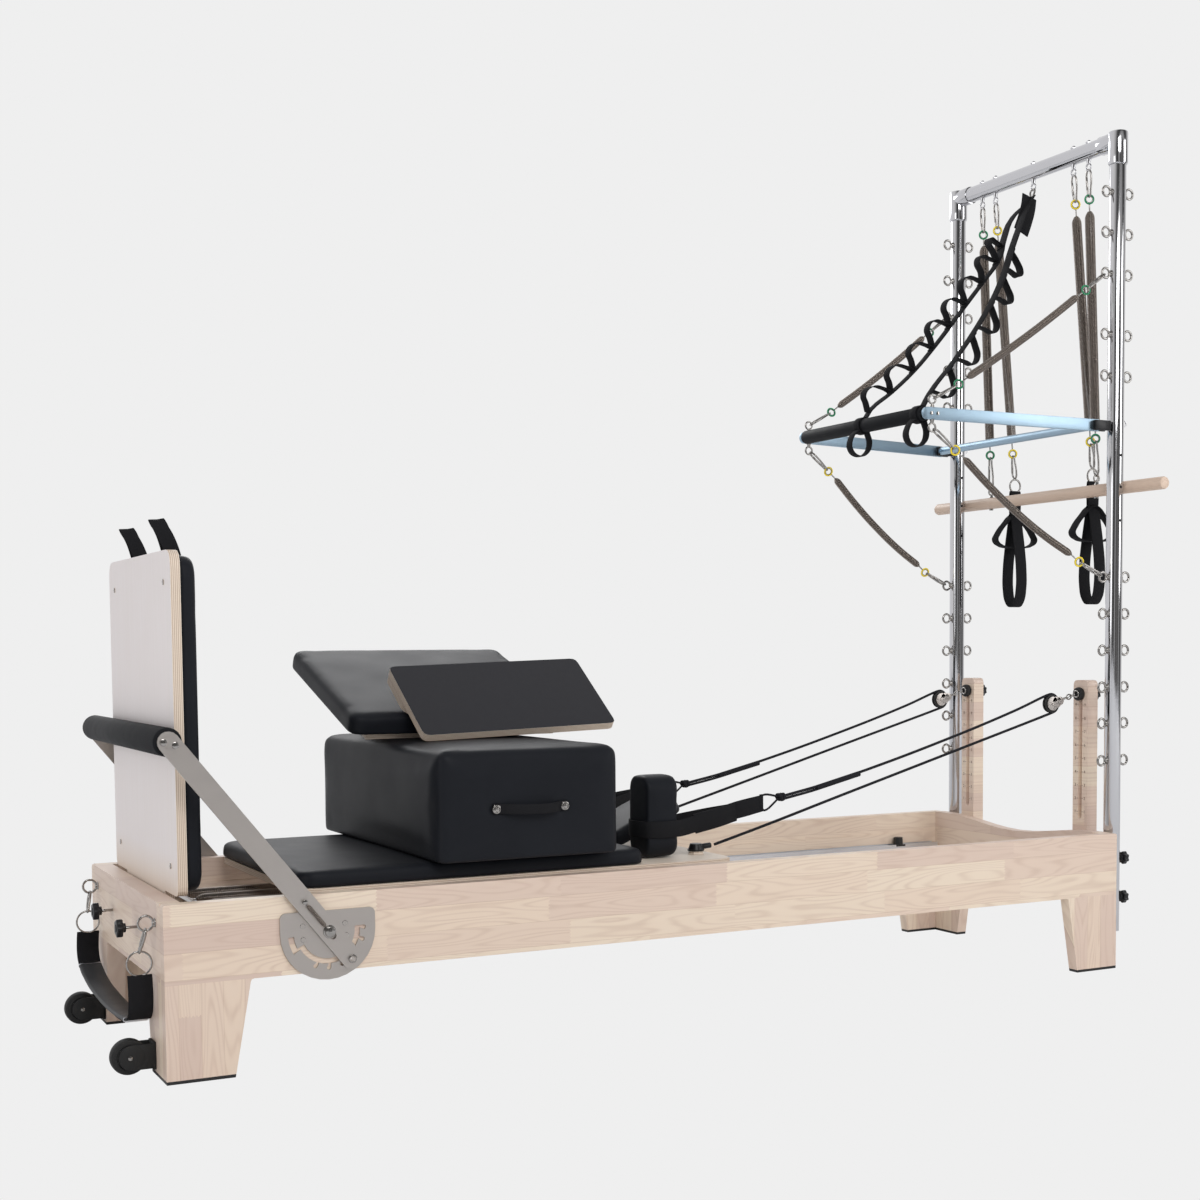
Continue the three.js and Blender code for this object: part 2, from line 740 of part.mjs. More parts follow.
function crossbar() {
  const pieces = [rod(at(towerX, -towerHalfWidth, crossbarHeight), at(towerX, towerHalfWidth, crossbarHeight),
    tubeRadius, tubeFaces)];
  const bores = [];
  for (const side of [-1, 1]) {
    const corner = at(towerX, side * towerHalfWidth, crossbarHeight);
    const sleeveFoot = corner.clone().addScaledVector(alongZ, -elbowArm);
    pieces.push(rod(sleeveFoot, corner, elbowRadius, tubeFaces));
    pieces.push(rod(corner, corner.clone().addScaledVector(alongY, -side * elbowArm), elbowRadius, tubeFaces));
    pieces.push(moved(new THREE.SphereGeometry(elbowRadius, 8, 4), corner.x, corner.y, corner.z));
    bores.push(rod(sleeveFoot.clone().addScaledVector(alongZ, -overrun),
      at(towerX, side * towerHalfWidth, uprightTop + seatGap), tubeRadius + seatGap, tubeFaces));
  }
  for (const y of crossbarEyes) {
    const under = at(towerX, y, crossbarHeight - tubeRadius + 2 * overrun);
    const centre = at(towerX, y, crossbarHeight - crossbarEyeDrop);
    pieces.push(...eyeBolt(under, centre, alongX, crossbarEyeRadius, eyeWire, crossbarEyeShank));
    const top = at(towerX, y, crossbarHeight + tubeRadius - 2 * overrun);
    pieces.push(rod(top, top.clone().addScaledVector(alongZ, domeNutHeight), domeNutRadius, 6, domeNutRadius / 2));
  }
  return carve(fuse(pieces), bores);
}
add('tower_crossbar', crossbar(), chrome);

// Foot-end star knobs

const footKnobY = 130;
const footKnobZ = 273;
const footKnobStem = 30;

function footEndKnob() {
  const seat = at(-seatGap, footKnobY, footKnobZ);
  return fuse(starKnob(seat, alongX.clone().negate(), footKnobStem, alongZ, alongY));
}
addPair('foot_end_knob', footEndKnob(), blackPlastic);

// Transport wheels on the foot-end legs; both wheels sit on the near side of their bracket

const casterX = -50;
const casterY = 262;
const casterZ = 40;
const casterRadius = 35.5;
const casterWidth = 24;
const casterEdge = 5;
const casterHub = 16;
const casterHubStep = 2;
const casterPin = 5;
const casterBore = 5.6;
const bracketSheet = 4;
const bracketFront = -72;
const bracketUnder = 12;
const bracketTop = 68;
const bracketFlange = 40;
const bracketNose = 16;
const casterBoltRadius = 9;
const casterBoltHead = 5;

function casterBracket(y) {
  const plateLow = y + casterWidth / 2 + runningGap + casterHubStep;
  const plateHigh = plateLow + bracketSheet;
  const plate = uprightAlongX(outline([
    [bracketFront, bracketUnder, bracketNose],
    [-seatGap, bracketUnder],
    [-seatGap, bracketTop],
    [bracketFront, bracketTop, bracketNose],
  ]), plateLow, plateHigh);
  const flange = box([-seatGap - bracketSheet, -seatGap], [plateHigh - bracketFlange, plateHigh],
    [bracketUnder, bracketTop]);
  const boltFace = y - casterWidth / 2 - casterHubStep - runningGap;
  const pin = rod(at(casterX, boltFace - overrun, casterZ), at(casterX, plateHigh, casterZ), casterPin, 8);
  const head = turned(at(casterX, boltFace, casterZ), alongY, [
    [0, -casterBoltHead],
    [casterBoltRadius * 0.6, -casterBoltHead],
    [casterBoltRadius, 0],
    [0, 0],
  ], 8);
  return fuse(plate, flange, pin, head);
}

function casterWheel(y) {
  const half = casterWidth / 2;
  return turned(at(casterX, y, casterZ), alongY, [
    [casterBore, -half - casterHubStep],
    [casterHub, -half - casterHubStep],
    [casterHub, -half + casterHubStep],
    [casterHub * 1.3, -half],
    [casterRadius - casterEdge, -half],
    [casterRadius, -half + casterEdge],
    [casterRadius, half - casterEdge],
    [casterRadius - casterEdge, half],
    [casterBore, half],
    [casterBore, -half - casterHubStep],
  ], 14);
}
for (const [name, side] of [['near', -1], ['far', 1]]) {
  add(`caster_bracket_${name}`, casterBracket(side * casterY), blackPlastic);
  add(`caster_wheel_${name}`, casterWheel(side * casterY), blackPlastic);
}

// Foot-end sling strap: two snap hooks, two wide rings and a strap with a padded leather middle

const slingX = -28;
const slingWidth = 48;
const slingSheet = 4;
const leatherSheet = 9;
const slingRing = 24;
const slingRingWire = 2;
const slingHookWidth = 16;
const slingHookEndHalf = 6.5;
const slingHookClearance = 0.4;

function footStrap() {
  const hangers = [
    { y: -endEyeY, ringY: -281, ringZ: 224 },
    { y: endEyeY, ringY: 276, ringZ: 229 },
  ];
  const pieces = [];
  for (const { y, ringY, ringZ } of hangers) {
    const hookTop = at(endEyeX, y, endEyeZ - holdIn(endEyeRadius, endEyeWire) + slingHookClearance);
    const ringTop = at(slingX, ringY, ringZ + slingRing - hookWire);
    pieces.push(link(hookTop, ringTop, alongY, slingHookWidth, hookWire, -hookTaper, slingHookEndHalf));
    pieces.push(ring(at(slingX, ringY, ringZ), alongY, slingRing, slingRingWire));
  }
  const route = [
    [-281, 224],
    [-283, 198],
    [-287, 150],
    [-275, 121],
    [-235, 107],
    [-82, 99],
    [60, 102],
    [180, 113],
    [262, 134],
    [287, 158],
    [283, 198],
    [276, 229],
  ];
  const stops = route.map(([y, z]) => [at(slingX, y, z), alongX, slingWidth]);
  pieces.push(strap(stops, slingSheet));
  pieces.push(strap(stops.slice(4, 9), leatherSheet));
  return fuse(pieces);
}
add('foot_strap', footStrap(), blackWebbing);

// Ratchet plates for the foot bar: an arc slot with notches round the pivot

const pivotX = 321.6;
const pivotZ = 272.4;
const plateSheet = 4;
const plateRadius = 97.4;
const plateTop = 314;
const plateCorner = 14;
const arcInner = 54.5;
const arcOuter = 65.5;
const arcFrom = 6;
const arcTo = -155;
const outerArcInner = 70;
const outerArcOuter = 82;
const outerArcFrom = -150;
const outerArcTo = -175;
const notchReach = 78;
const notchHalf = 4.7;
const notchAngles = [2, -17, -52, -68, -90, -112];
const plateScrewRadius = 5;
const plateScrewHead = 1;
const plateScrews = [[-52, 13.6], [-51.3, -13.4], [34.4, 13.6], [37.2, -10.9]];
const plateFace = outerFace + seatGap + plateSheet;

function plateSector(inner, outer, from, to) {
  const shape = new THREE.Shape();
  const low = THREE.MathUtils.degToRad(Math.min(from, to));
  const high = THREE.MathUtils.degToRad(Math.max(from, to));
  shape.absarc(pivotX, pivotZ, outer, low, high, false);
  shape.absarc(pivotX, pivotZ, inner, high, low, true);
  shape.closePath();
  const segments = Math.max(2, Math.round((high - low) / 0.5));
  return uprightAlongX(shape, outerFace, plateFace + overrun, segments);
}

function ratchetPlate() {
  const shape = new THREE.Shape();
  shape.moveTo(pivotX - plateRadius, pivotZ);
  shape.absarc(pivotX, pivotZ, plateRadius, -Math.PI, 0, false);
  shape.lineTo(pivotX + plateRadius, plateTop - plateCorner);
  shape.quadraticCurveTo(pivotX + plateRadius, plateTop, pivotX + plateRadius - plateCorner, plateTop);
  shape.lineTo(pivotX - plateRadius + plateCorner, plateTop);
  shape.quadraticCurveTo(pivotX - plateRadius, plateTop, pivotX - plateRadius, plateTop - plateCorner);
  shape.closePath();
  const plate = uprightAlongX(shape, outerFace + seatGap, plateFace, 8);
  const cutters = [
    plateSector(arcInner, arcOuter, arcFrom, arcTo),
    plateSector(outerArcInner, outerArcOuter, outerArcFrom, outerArcTo),
    plateSector(arcInner, outerArcOuter, outerArcFrom, arcTo),
    rod(at(pivotX, outerFace, pivotZ), at(pivotX, plateFace + overrun, pivotZ), pivotBore, 10),
  ];
  for (const degrees of notchAngles) {
    const angle = THREE.MathUtils.degToRad(degrees);
    const reach = at(Math.cos(angle), 0, Math.sin(angle));
    const side = at(-Math.sin(angle), 0, Math.cos(angle));
    const notch = new THREE.Shape();
    notch.moveTo(arcInner + overrun, -notchHalf);
    notch.absarc(notchReach - notchHalf, 0, notchHalf, -Math.PI / 2, Math.PI / 2, false);
    notch.lineTo(arcInner + overrun, notchHalf);
    notch.closePath();
    cutters.push(board(notch, plateSheet + 2 * overrun, reach, side, at(pivotX, plateFace + overrun, pivotZ), 2));
  }
  const screws = plateScrews.map(([x, z]) => rod(
    at(pivotX + x, plateFace - overrun, pivotZ + z),
    at(pivotX + x, plateFace + plateScrewHead, pivotZ + z), plateScrewRadius, 6));
  return fuse(carve(plate, cutters), screws);
}

// Foot bar: two flat arms, a cross rod, stop pins and spring pins; it lies on the jump board

const armLength = 491.8;
const rollerRest = 27.75;
const armLean = Math.asin((pivotX + rollerRest - jumpX) / armLength);
const armHalf = 21;
const armSheet = 6;
const armGap = 0.7;
const armTail = 95;
const armTailRound = 21;
const armRodRadius = 12;
const slotTravel = 12;
const pivotRadius = 6;
const pivotBore = 6.6;
const pivotHead = 11;
const pivotWasher = 13;
const pivotHeadHeight = 5;
const stopPinAt = 74.4;
const stopPinRadius = 7;
const stopPinHeight = 9;
const springPinAt = 80.2;
const springPinRadius = 3.5;
const returnRadius = 4.2;
const returnWall = 1.4;
const returnCurls = 2;
const armInner = plateFace + plateScrewHead + armGap;
const armOuter = armInner + armSheet;
const rollerRadius = 28;
const rollerGap = 3;

// A place on the foot bar: so far from the pivot towards the roller, at a height across the arm.
function alongArm(reach, y) {
  return at(pivotX - reach * Math.sin(armLean), y, pivotZ + reach * Math.cos(armLean));
}
const armDirection = at(-Math.sin(armLean), 0, Math.cos(armLean));
const armSide = at(Math.cos(armLean), 0, Math.sin(armLean));

function footBarArm() {
  const shape = new THREE.Shape();
  shape.absarc(0, armLength, armHalf, 0, Math.PI, false);
  shape.absarc(0, -armTail + armTailRound, armTailRound, Math.PI, 2 * Math.PI, false);
  shape.closePath();
  const slot = new THREE.Path();
  slot.absarc(0, runningGap, pivotBore, 0, Math.PI, false);
  slot.absarc(0, -slotTravel - runningGap, pivotBore, Math.PI, 2 * Math.PI, false);
  slot.closePath();
  shape.holes.push(slot);
  const plate = board(shape, armSheet, armSide, armDirection, at(pivotX, armOuter, pivotZ), 4);
  const stopPin = turned(alongArm(-stopPinAt, armOuter - overrun), alongY, [
    [0, 0],
    [stopPinRadius, 0],
    [stopPinRadius, stopPinHeight * 0.6],
    [stopPinRadius * 0.6, stopPinHeight],
    [0, stopPinHeight],
  ], 8);
  const springPin = rod(alongArm(springPinAt, armOuter - overrun), alongArm(springPinAt, armOuter + stopPinRadius),
    springPinRadius, 6);
  const endScrew = rod(alongArm(armLength, armOuter - overrun), alongArm(armLength, armOuter + pivotHeadHeight / 2),
    pivotHead, 8);
  return fuse(plate, stopPin, springPin, endScrew);
}

function footBar() {
  const far = footBarArm();
  const crossRod = rod(alongArm(armLength, -armInner - overrun), alongArm(armLength, armInner + overrun),
    armRodRadius, 12);
  return fuse(far, mirrored(far), crossRod);
}

function footBarGrip() {
  const half = armInner - rollerGap;
  return turned(alongArm(armLength, 0), alongY, [
    [armRodRadius + runningGap, -half],
    [rollerRadius - casterEdge, -half],
    [rollerRadius, -half + casterEdge],
    [rollerRadius, half - casterEdge],
    [rollerRadius - casterEdge, half],
    [armRodRadius + runningGap, half],
    [armRodRadius + runningGap, -half],
  ], 14);
}

function footBarPivot() {
  const face = armOuter + runningGap;
  const washerFace = face + springPinRadius;
  const bolt = turned(at(pivotX, 0, pivotZ), alongY, [
    [0, outerFace + seatGap],
    [pivotRadius, outerFace + seatGap],
    [pivotRadius, face],
    [pivotWasher, face],
    [pivotWasher, washerFace],
    [pivotHead, washerFace],
    [pivotHead * 0.6, washerFace + pivotHeadHeight],
    [0, washerFace + pivotHeadHeight],
  ], 8);
  const springY = armOuter + returnRadius + seatGap;
  const eyeRadiusHere = springPinRadius + seatGap * 2 + returnWall;
  const eyeCentre = alongArm(springPinAt, springY);
  const coilStartPlace = alongArm(pivotWasher + returnRadius, springY);
  const coilEndPlace = alongArm(springPinAt - eyeRadiusHere - returnRadius, springY);
  const path = new THREE.LineCurve3(coilStartPlace, coilEndPlace);
  const pieces = [
    bolt,
    coil(path, returnRadius, returnWall, returnCurls),
    rod(alongArm(pivotWasher - overrun, springY - overrun), alongArm(pivotWasher + returnRadius + returnWall, springY),
      returnRadius - returnWall / 2, 4),
    rod(alongArm(springPinAt - eyeRadiusHere - returnRadius - returnWall, springY),
      alongArm(springPinAt - eyeRadiusHere, springY), returnRadius - returnWall / 2, 4),
    ring(eyeCentre, alongY, eyeRadiusHere, returnWall),
  ];
  return fuse(pieces);
}
addPair('ratchet_plate', ratchetPlate(), brushedSteel);
add('footbar_arms', footBar(), brushedSteel);
add('footbar_grip', footBarGrip(), blackFoam);
addPair('footbar_pivot', footBarPivot(), chrome);

// Carriage: a board on two axles, its pad, headrest, shoulder rests and springs

const boardStart = 283;
const boardEnd = 1290;
const boardHalf = 333;
const boardSheet = 15;
const boardCorner = 40;
const boardTop = 352;
const boardUnder = boardTop - boardSheet;
const axleXs = [480, 1120];
const axleRadius = 5;
const axleBore = 5.8;
const wheelRadius = 30;
const wheelWidth = 20;
const wheelEdge = 3;
const axleZ = trackTop + seatGap + wheelRadius;
const wheelOuter = innerFace - trackLipSheet - 2 * overrun;
const hangerInner = 280;
const hangerOuter = 300;
const hangerHalf = 16;
const hangerUnder = axleZ - 14;
const cleatX = 1250;
const cleatY = 220;
const cleatRadius = 19;
const cleatHeight = 16;
const cleatPegRadius = 6;
const cleatPegReach = 38;
const cleatPegZ = 370;
const springBarX = 135;
const springBarRadius = 9;
const springBarZ = barBlockTop + seatGap + springBarRadius;
const springBarHalf = 338;
const carriageSpringYs = [-135, -45, 45, 135];
const carriageSpringRadius = 13;
const carriageSpringCurls = 3;
const anchorX = 430;
const anchorRadius = 5;
const anchorHalf = 160;
const anchorCleatSheet = 13;
const anchorSlotHalf = 8;
const anchorCleatUnder = springBarZ - 12;
const anchorSlotTop = springBarZ + 8;

function springBar() {
  return rod(at(springBarX, -springBarHalf, springBarZ), at(springBarX, springBarHalf, springBarZ), springBarRadius, 10);
}
add('spring_bar', springBar(), chrome);

function carriageSprings() {
  const hookRadius = springBarRadius + seatGap + springWire + overrun;
  const coilStartX = springBarX + hookRadius + carriageSpringRadius;
  const coilEndX = anchorX - anchorCleatSheet - anchorRadius - 2 * carriageSpringRadius;
  const pieces = [rod(at(anchorX, -anchorHalf, springBarZ), at(anchorX, anchorHalf, springBarZ), anchorRadius, 6)];
  for (const y of carriageSpringYs) {
    const start = at(coilStartX, y, springBarZ);
    const end = at(coilEndX, y, springBarZ);
    const bite = shoulderBite;
    pieces.push(...eyeBolt(at(coilStartX + bite, y, springBarZ), at(springBarX, y, springBarZ), alongY, hookRadius,
      springWire, carriageSpringRadius * shoulderShare));
    pieces.push(coil(new THREE.LineCurve3(start, end), carriageSpringRadius, springWall, carriageSpringCurls));
    pieces.push(rod(at(coilEndX - bite, y, springBarZ), at(anchorX, y, springBarZ),
      carriageSpringRadius - springWall / 2, 6, springWire));
  }
  return fuse(pieces);
}
add('carriage_springs', carriageSprings(), springSteel);

function carriageBoard() {
  const pieces = [lyingFlat(outline([
    [boardStart, -boardHalf, boardCorner],
    [boardEnd, -boardHalf, boardCorner],
    [boardEnd, boardHalf, boardCorner],
    [boardStart, boardHalf, boardCorner],
  ]), boardUnder, boardTop, 2)];
  const cutters = [];
  const anchorCleatEnd = anchorX - anchorRadius - seatGap;
  pieces.push(box([anchorCleatEnd - anchorCleatSheet, anchorCleatEnd], [-anchorHalf, anchorHalf],
    [anchorCleatUnder, boardUnder + overrun]));
  for (const y of carriageSpringYs) {
    cutters.push(box([anchorCleatEnd - anchorCleatSheet - overrun, anchorCleatEnd + overrun],
      [y - anchorSlotHalf, y + anchorSlotHalf], [anchorCleatUnder - overrun, anchorSlotTop]));
  }
  for (const side of [-1, 1]) {
    const across = side > 0 ? [hangerInner, hangerOuter] : [-hangerOuter, -hangerInner];
    for (const x of axleXs) {
      pieces.push(box([x - hangerHalf, x + hangerHalf], across, [hangerUnder, boardUnder + overrun]));
    }
    const foot = at(cleatX, side * cleatY, boardTop - overrun);
    pieces.push(turned(foot, alongZ, [
      [0, 0],
      [cleatRadius, 0],
      [cleatRadius * 0.7, cleatHeight],
      [0, cleatHeight],
    ], 8));
    pieces.push(rod(at(cleatX, side * cleatY, cleatPegZ - cleatHeight / 3),
      at(cleatX + cleatPegReach, side * cleatY, cleatPegZ), cleatPegRadius, 6));
  }
  for (const x of axleXs) {
    cutters.push(rod(at(x, -hangerOuter - overrun, axleZ), at(x, hangerOuter + overrun, axleZ), axleBore, 8));
  }
  return carve(fuse(pieces), cutters);
}
add('carriage_board', carriageBoard(), plywood);

function carriageWheels(x) {
  const pieces = [rod(at(x, -wheelOuter, axleZ), at(x, wheelOuter, axleZ), axleRadius, 8)];
  for (const side of [-1, 1]) {
    const centre = at(x, side * (wheelOuter - wheelWidth / 2), axleZ);
    const half = wheelWidth / 2;
    pieces.push(turned(centre, alongY, [
      [0, -half],
      [wheelRadius - wheelEdge, -half],
      [wheelRadius, -half + wheelEdge],
      [wheelRadius, half - wheelEdge],
      [wheelRadius - wheelEdge, half],
      [0, half],
    ], 14));
  }
  return fuse(pieces);
}
add('carriage_wheels_foot', carriageWheels(axleXs[0]), blackPlastic);
add('carriage_wheels_head', carriageWheels(axleXs[1]), blackPlastic);

// Upholstered pieces of the carriage

const carriagePadStart = 278;
const carriagePadEnd = 1070;
const carriagePadHeight = 33;
const carriagePadCrown = 4;
const padBaseZ = boardTop + seatGap;

const carriagePad = add('carriage_pad', pad({
  length: carriagePadEnd - carriagePadStart,
  width: 2 * boardHalf,
  height: carriagePadHeight,
  corner: 45,
  edge: 9,
  underEdge: 3,
  crown: carriagePadCrown,
  drawn: 2,
}), blackVinyl);
carriagePad.position.set((carriagePadStart + carriagePadEnd) / 2, 0, padBaseZ);

// The headrest turns on a rod at its foot edge; at rest its head edge is propped up.
const headrestLength = 212;
const headrestWidth = 200;
const headrestHeight = 34;
const headrestTilt = THREE.MathUtils.degToRad(24);
const headrestX = 1100;
const headrestRod = 4;
const headrestRise = padBaseZ + headrestRod;

const headrestGroup = new THREE.Group();
headrestGroup.position.set(headrestX, 0, headrestRise);
headrestGroup.rotation.y = -headrestTilt;
unit.add(headrestGroup);

function headrest() {
  const cushion = moved(pad({
    length: headrestLength,
    width: headrestWidth,
    height: headrestHeight,
    corner: 26,
    edge: 9,
    underEdge: 3,
    crown: 4,
    drawn: 3,
  }), headrestLength / 2, 0, 0);
  return fuse(cushion, rod(at(0, -headrestWidth / 2, 0), at(0, headrestWidth / 2, 0), headrestRod, 8));
}
add('headrest', headrest(), blackVinyl, headrestGroup);

const shoulderStart = 1098;
const shoulderEnd = 1182;
const shoulderInner = 174;
const shoulderOuter = 270;
const shoulderTop = 541;
const shoulderRound = 34;
const shoulderBevel = 9;

function shoulderRest() {
  const shape = outline([
    [shoulderInner + shoulderBevel, padBaseZ + shoulderBevel],
    [shoulderOuter - shoulderBevel, padBaseZ + shoulderBevel],
    [shoulderOuter - shoulderBevel, shoulderTop - shoulderBevel, shoulderRound],
    [shoulderInner + shoulderBevel, shoulderTop - shoulderBevel, shoulderRound],
  ]);
  const depth = shoulderEnd - shoulderStart - 2 * shoulderBevel;
  const geometry = new THREE.ExtrudeGeometry(shape, {
    depth,
    bevelEnabled: true,
    bevelThickness: shoulderBevel,
    bevelSize: shoulderBevel,
    bevelSegments: 2,
    curveSegments: 4,
  });
  const basis = new THREE.Matrix4().makeBasis(alongY, alongZ, alongX);
  return geometry.applyMatrix4(basis.setPosition(at(shoulderStart + shoulderBevel, 0, 0)));
}
addPair('shoulder_rest', shoulderRest(), blackVinyl);

// Sitting box, laid across the carriage pad, with a strap handle on its near end

const boxStart = 555;
const boxEnd = 975;
const boxNear = -385;
const boxFar = 420;
const boxHeight = 234;
const boxCrown = 9;
const boxZ = padBaseZ + carriagePadHeight + carriagePadCrown * crownTopShare + seatGap;
const boxTopZ = boxZ + boxHeight + boxCrown * crownTopShare;
const handleXs = [681, 837.5];
const handleZ = 498;
const handleWidth = 26;
const handleSheet = 4;
const handleReach = 24;
const handleDip = 8;

const boxGroup = new THREE.Group();
boxGroup.position.set((boxStart + boxEnd) / 2, (boxNear + boxFar) / 2, boxZ);
unit.add(boxGroup);

function sittingBox() {
  const body = pad({
    length: boxEnd - boxStart,
    width: boxFar - boxNear,
    height: boxHeight,
    corner: 22,
    edge: 14,
    underEdge: 4,
    crown: boxCrown,
    drawn: 1.5,
  });
  const face = boxNear - (boxNear + boxFar) / 2;
  const shift = (boxStart + boxEnd) / 2;
  const left = handleXs[0] - shift;
  const right = handleXs[1] - shift;
  const stops = [];
  const steps = 4;
  for (let i = 0; i <= steps; i += 1) {
    const share = i / steps;
    const swell = Math.sin(Math.PI * share);
    const place = at(left + (right - left) * share, face + handleSheet / 2 - handleReach * swell,
      handleZ - boxZ - handleDip * swell);
    stops.push([place, alongZ, handleWidth]);
  }
  const bolts = [left, right].map((x) => rod(
    at(x, face + handleSheet, handleZ - boxZ), at(x, face - handleSheet, handleZ - boxZ), handleWidth / 3, 6));
  return fuse(body, strap(stops, handleSheet), bolts);
}
add('sitting_box', sittingBox(), blackVinyl, boxGroup);

// Extension pad, lying tilted on the box: an upholstered board with a cleat under it

const extensionLength = 547;
const extensionWidth = 494;
const extensionHeight = 44;
const extensionTilt = THREE.MathUtils.degToRad(18);
const extensionX = 759;
const extensionNearY = -24.5;
const extensionCleat = 16;
const extensionCleatWidth = 60;
const extensionCleatInset = 44;
const extensionCleatNear = 22;
const extensionNearZ = boxTopZ + seatGap - extensionCleatNear * Math.sin(extensionTilt);
const extensionLegFrom = 330;
const extensionLegSheet = 18;
const extensionLegHalf = 130;
const extensionLegReach = 103.7;

const extensionGroup = new THREE.Group();
extensionGroup.position.set(extensionX, extensionNearY, extensionNearZ);
extensionGroup.rotation.x = extensionTilt;
unit.add(extensionGroup);

function extensionPad() {
  const cushion = moved(pad({
    length: extensionLength,
    width: extensionWidth,
    height: extensionHeight,
    corner: 24,
    edge: 11,
    underEdge: 3,
    crown: 5,
    drawn: 2,
  }), 0, extensionWidth / 2, extensionCleat);
  const cleatEnd = extensionLength / 2 - extensionCleatInset;
  const cleat = box([-cleatEnd, cleatEnd], [extensionCleatNear, extensionCleatNear + extensionCleatWidth],
    [0, extensionCleat + overrun]);
  const leg = box([-extensionLegHalf, extensionLegHalf], [extensionLegFrom, extensionLegFrom + extensionLegSheet],
    [-extensionLegReach, extensionCleat + overrun]);
  return fuse(cushion, cleat, leg);
}
add('extension_pad', extensionPad(), blackVinyl, extensionGroup);

// Standing platform, leaning on the extension pad: two plies and a cleat

const platformLength = 480;
const platformWidth = 240;
const platformSheet = 18;
const platformRound = 16;
const platformTilt = 0.6655;
const platformRoll = 0.03;
const platformYaw = 0.05;
const platformX = 855;
const platformNearY = -124;
const platformNearZ = 636.2;
const platformRearShare = 0.6;
const platformRearRound = 50;

const platformGroup = new THREE.Group();
platformGroup.position.set(platformX, platformNearY, platformNearZ);
platformGroup.rotation.set(platformTilt, -platformRoll, platformYaw, 'ZYX');
unit.add(platformGroup);

function standingPlatform() {
  const half = platformLength / 2;
  const front = lyingFlat(outline([
    [-half, 0, platformRound],
    [half, 0, platformRound],
    [half, platformWidth, platformRound],
    [-half, platformWidth, platformRound],
  ]), 0, platformSheet, 3);
  const rearLow = platformWidth * (1 - platformRearShare);
  const rear = lyingFlat(outline([
    [-half + platformRound, rearLow, platformRearRound],
    [half - platformRound, rearLow, platformRearRound],
    [half - platformRound, platformWidth, platformRound],
    [-half + platformRound, platformWidth, platformRound],
  ]), -platformSheet, overrun, 3);
  return fuse(front, rear);
}
add('standing_platform', standingPlatform(), plywood, platformGroup);

// Jump board, standing in the foot end: a plywood panel with a tongue, a pad and two loops

const jumpSheet = 19;
const jumpHalf = 307;
const jumpUnder = bedTop + 4;
const jumpTop = 1027;
const jumpCorner = 38;
const tongueHalf = 190;
const tongueUnder = ledgeTop + seatGap;
const jumpScrews = [[246, 965], [250, 407]];
const jumpScrewRadius = 8;
const jumpScrewHead = 2.5;
const jumpPadHeight = 30;
const jumpPadUnder = 353;
const jumpPadTop = 1020;
const loopWidth = 30;
const loopSheet = 3;
const loopBaseZ = 1008;
const loopLean = 26;
const loopBases = [[63, 110, 1085], [-166, -247, 1068]];

function jumpPanel() {
  const shape = outline([
    [-tongueHalf, tongueUnder, edgeRound],
    [tongueHalf, tongueUnder, edgeRound],
    [tongueHalf, jumpUnder, edgeRound],
    [jumpHalf, jumpUnder, jumpCorner / 2],
    [jumpHalf, jumpTop, jumpCorner],
    [-jumpHalf, jumpTop, jumpCorner],
    [-jumpHalf, jumpUnder, jumpCorner / 2],
    [-tongueHalf, jumpUnder, edgeRound],
  ]);
  const panel = uprightAlongY(shape, jumpX, jumpX + jumpSheet, 4);
  const screws = jumpScrews.flatMap(([y, z]) => [-y, y].map((place) => rod(
    at(jumpX + overrun, place, z), at(jumpX - jumpScrewHead, place, z), jumpScrewRadius, 6, jumpScrewRadius / 2)));
  return fuse(panel, screws);
}
add('jump_board_panel', jumpPanel(), plywood);

function jumpPad() {
  const flat = pad({
    length: jumpPadTop - jumpPadUnder,
    width: 2 * (jumpHalf - 2),
    height: jumpPadHeight,
    corner: jumpCorner,
    edge: 9,
    underEdge: 2,
    crown: 3,
    drawn: 2,
  });
  const backFace = jumpX + jumpSheet + seatGap;
  const basis = new THREE.Matrix4().makeBasis(alongZ.clone().negate(), alongY, alongX);
  flat.applyMatrix4(basis.setPosition(at(backFace, 0, (jumpPadUnder + jumpPadTop) / 2)));
  const loops = loopBases.map(([from, to, top]) => {
    const baseX = backFace + 2 * loopSheet;
    const rise = top - jumpTop;
    const steps = 6;
    const stops = [[at(baseX, from, loopBaseZ), alongY, loopWidth]];
    for (let i = 0; i <= steps; i += 1) {
      const share = i / steps;
      const swell = Math.sin(Math.PI * share);
      const turn = Math.min(1, swell * 1.6);
      const widthway = alongY.clone().multiplyScalar(1 - turn).addScaledVector(alongX, turn);
      stops.push([at(baseX - loopLean * swell, from + (to - from) * share, jumpTop + loopSheet + rise * swell),
        widthway, loopWidth]);
    }
    stops.push([at(baseX, to, loopBaseZ), alongY, loopWidth]);
    if (to < from) stops.forEach((stop) => stop[1].y *= -1);
    return strap(stops, loopSheet);
  });
  return fuse(flat, loops);
}
add('jump_board_pad', jumpPad(), blackVinyl);

// Push-through bar: two flat arms, a grip tube, a cross tube near the tower and fork ends

const pushArmReach = 519;
const gripX = hingeX - pushArmReach;
const gripZ = 1393;
const gripHalf = 262;
const gripRadius = 18;
const gripTube = 12;
const armEndY = 272;
const armBackReach = 21;
const armBackX = hingeX - armBackReach;
const pushSheet = 8;
const pushDepth = 30;
const forkReach = 29;
const forkFront = hingeX - forkReach;
const forkRound = 13;
const forkGap = 0.5;
const forkSheet = 8;
const crossTubeX = forkFront;
const crossTubeRadius = 11;
const pushEyeSetback = 14;
const pushEyeX = gripX + pushEyeSetback;
const pushEyeRise = 33.5;
const pushEyeRadius = 10.5;
const pushScrewRadius = 4;

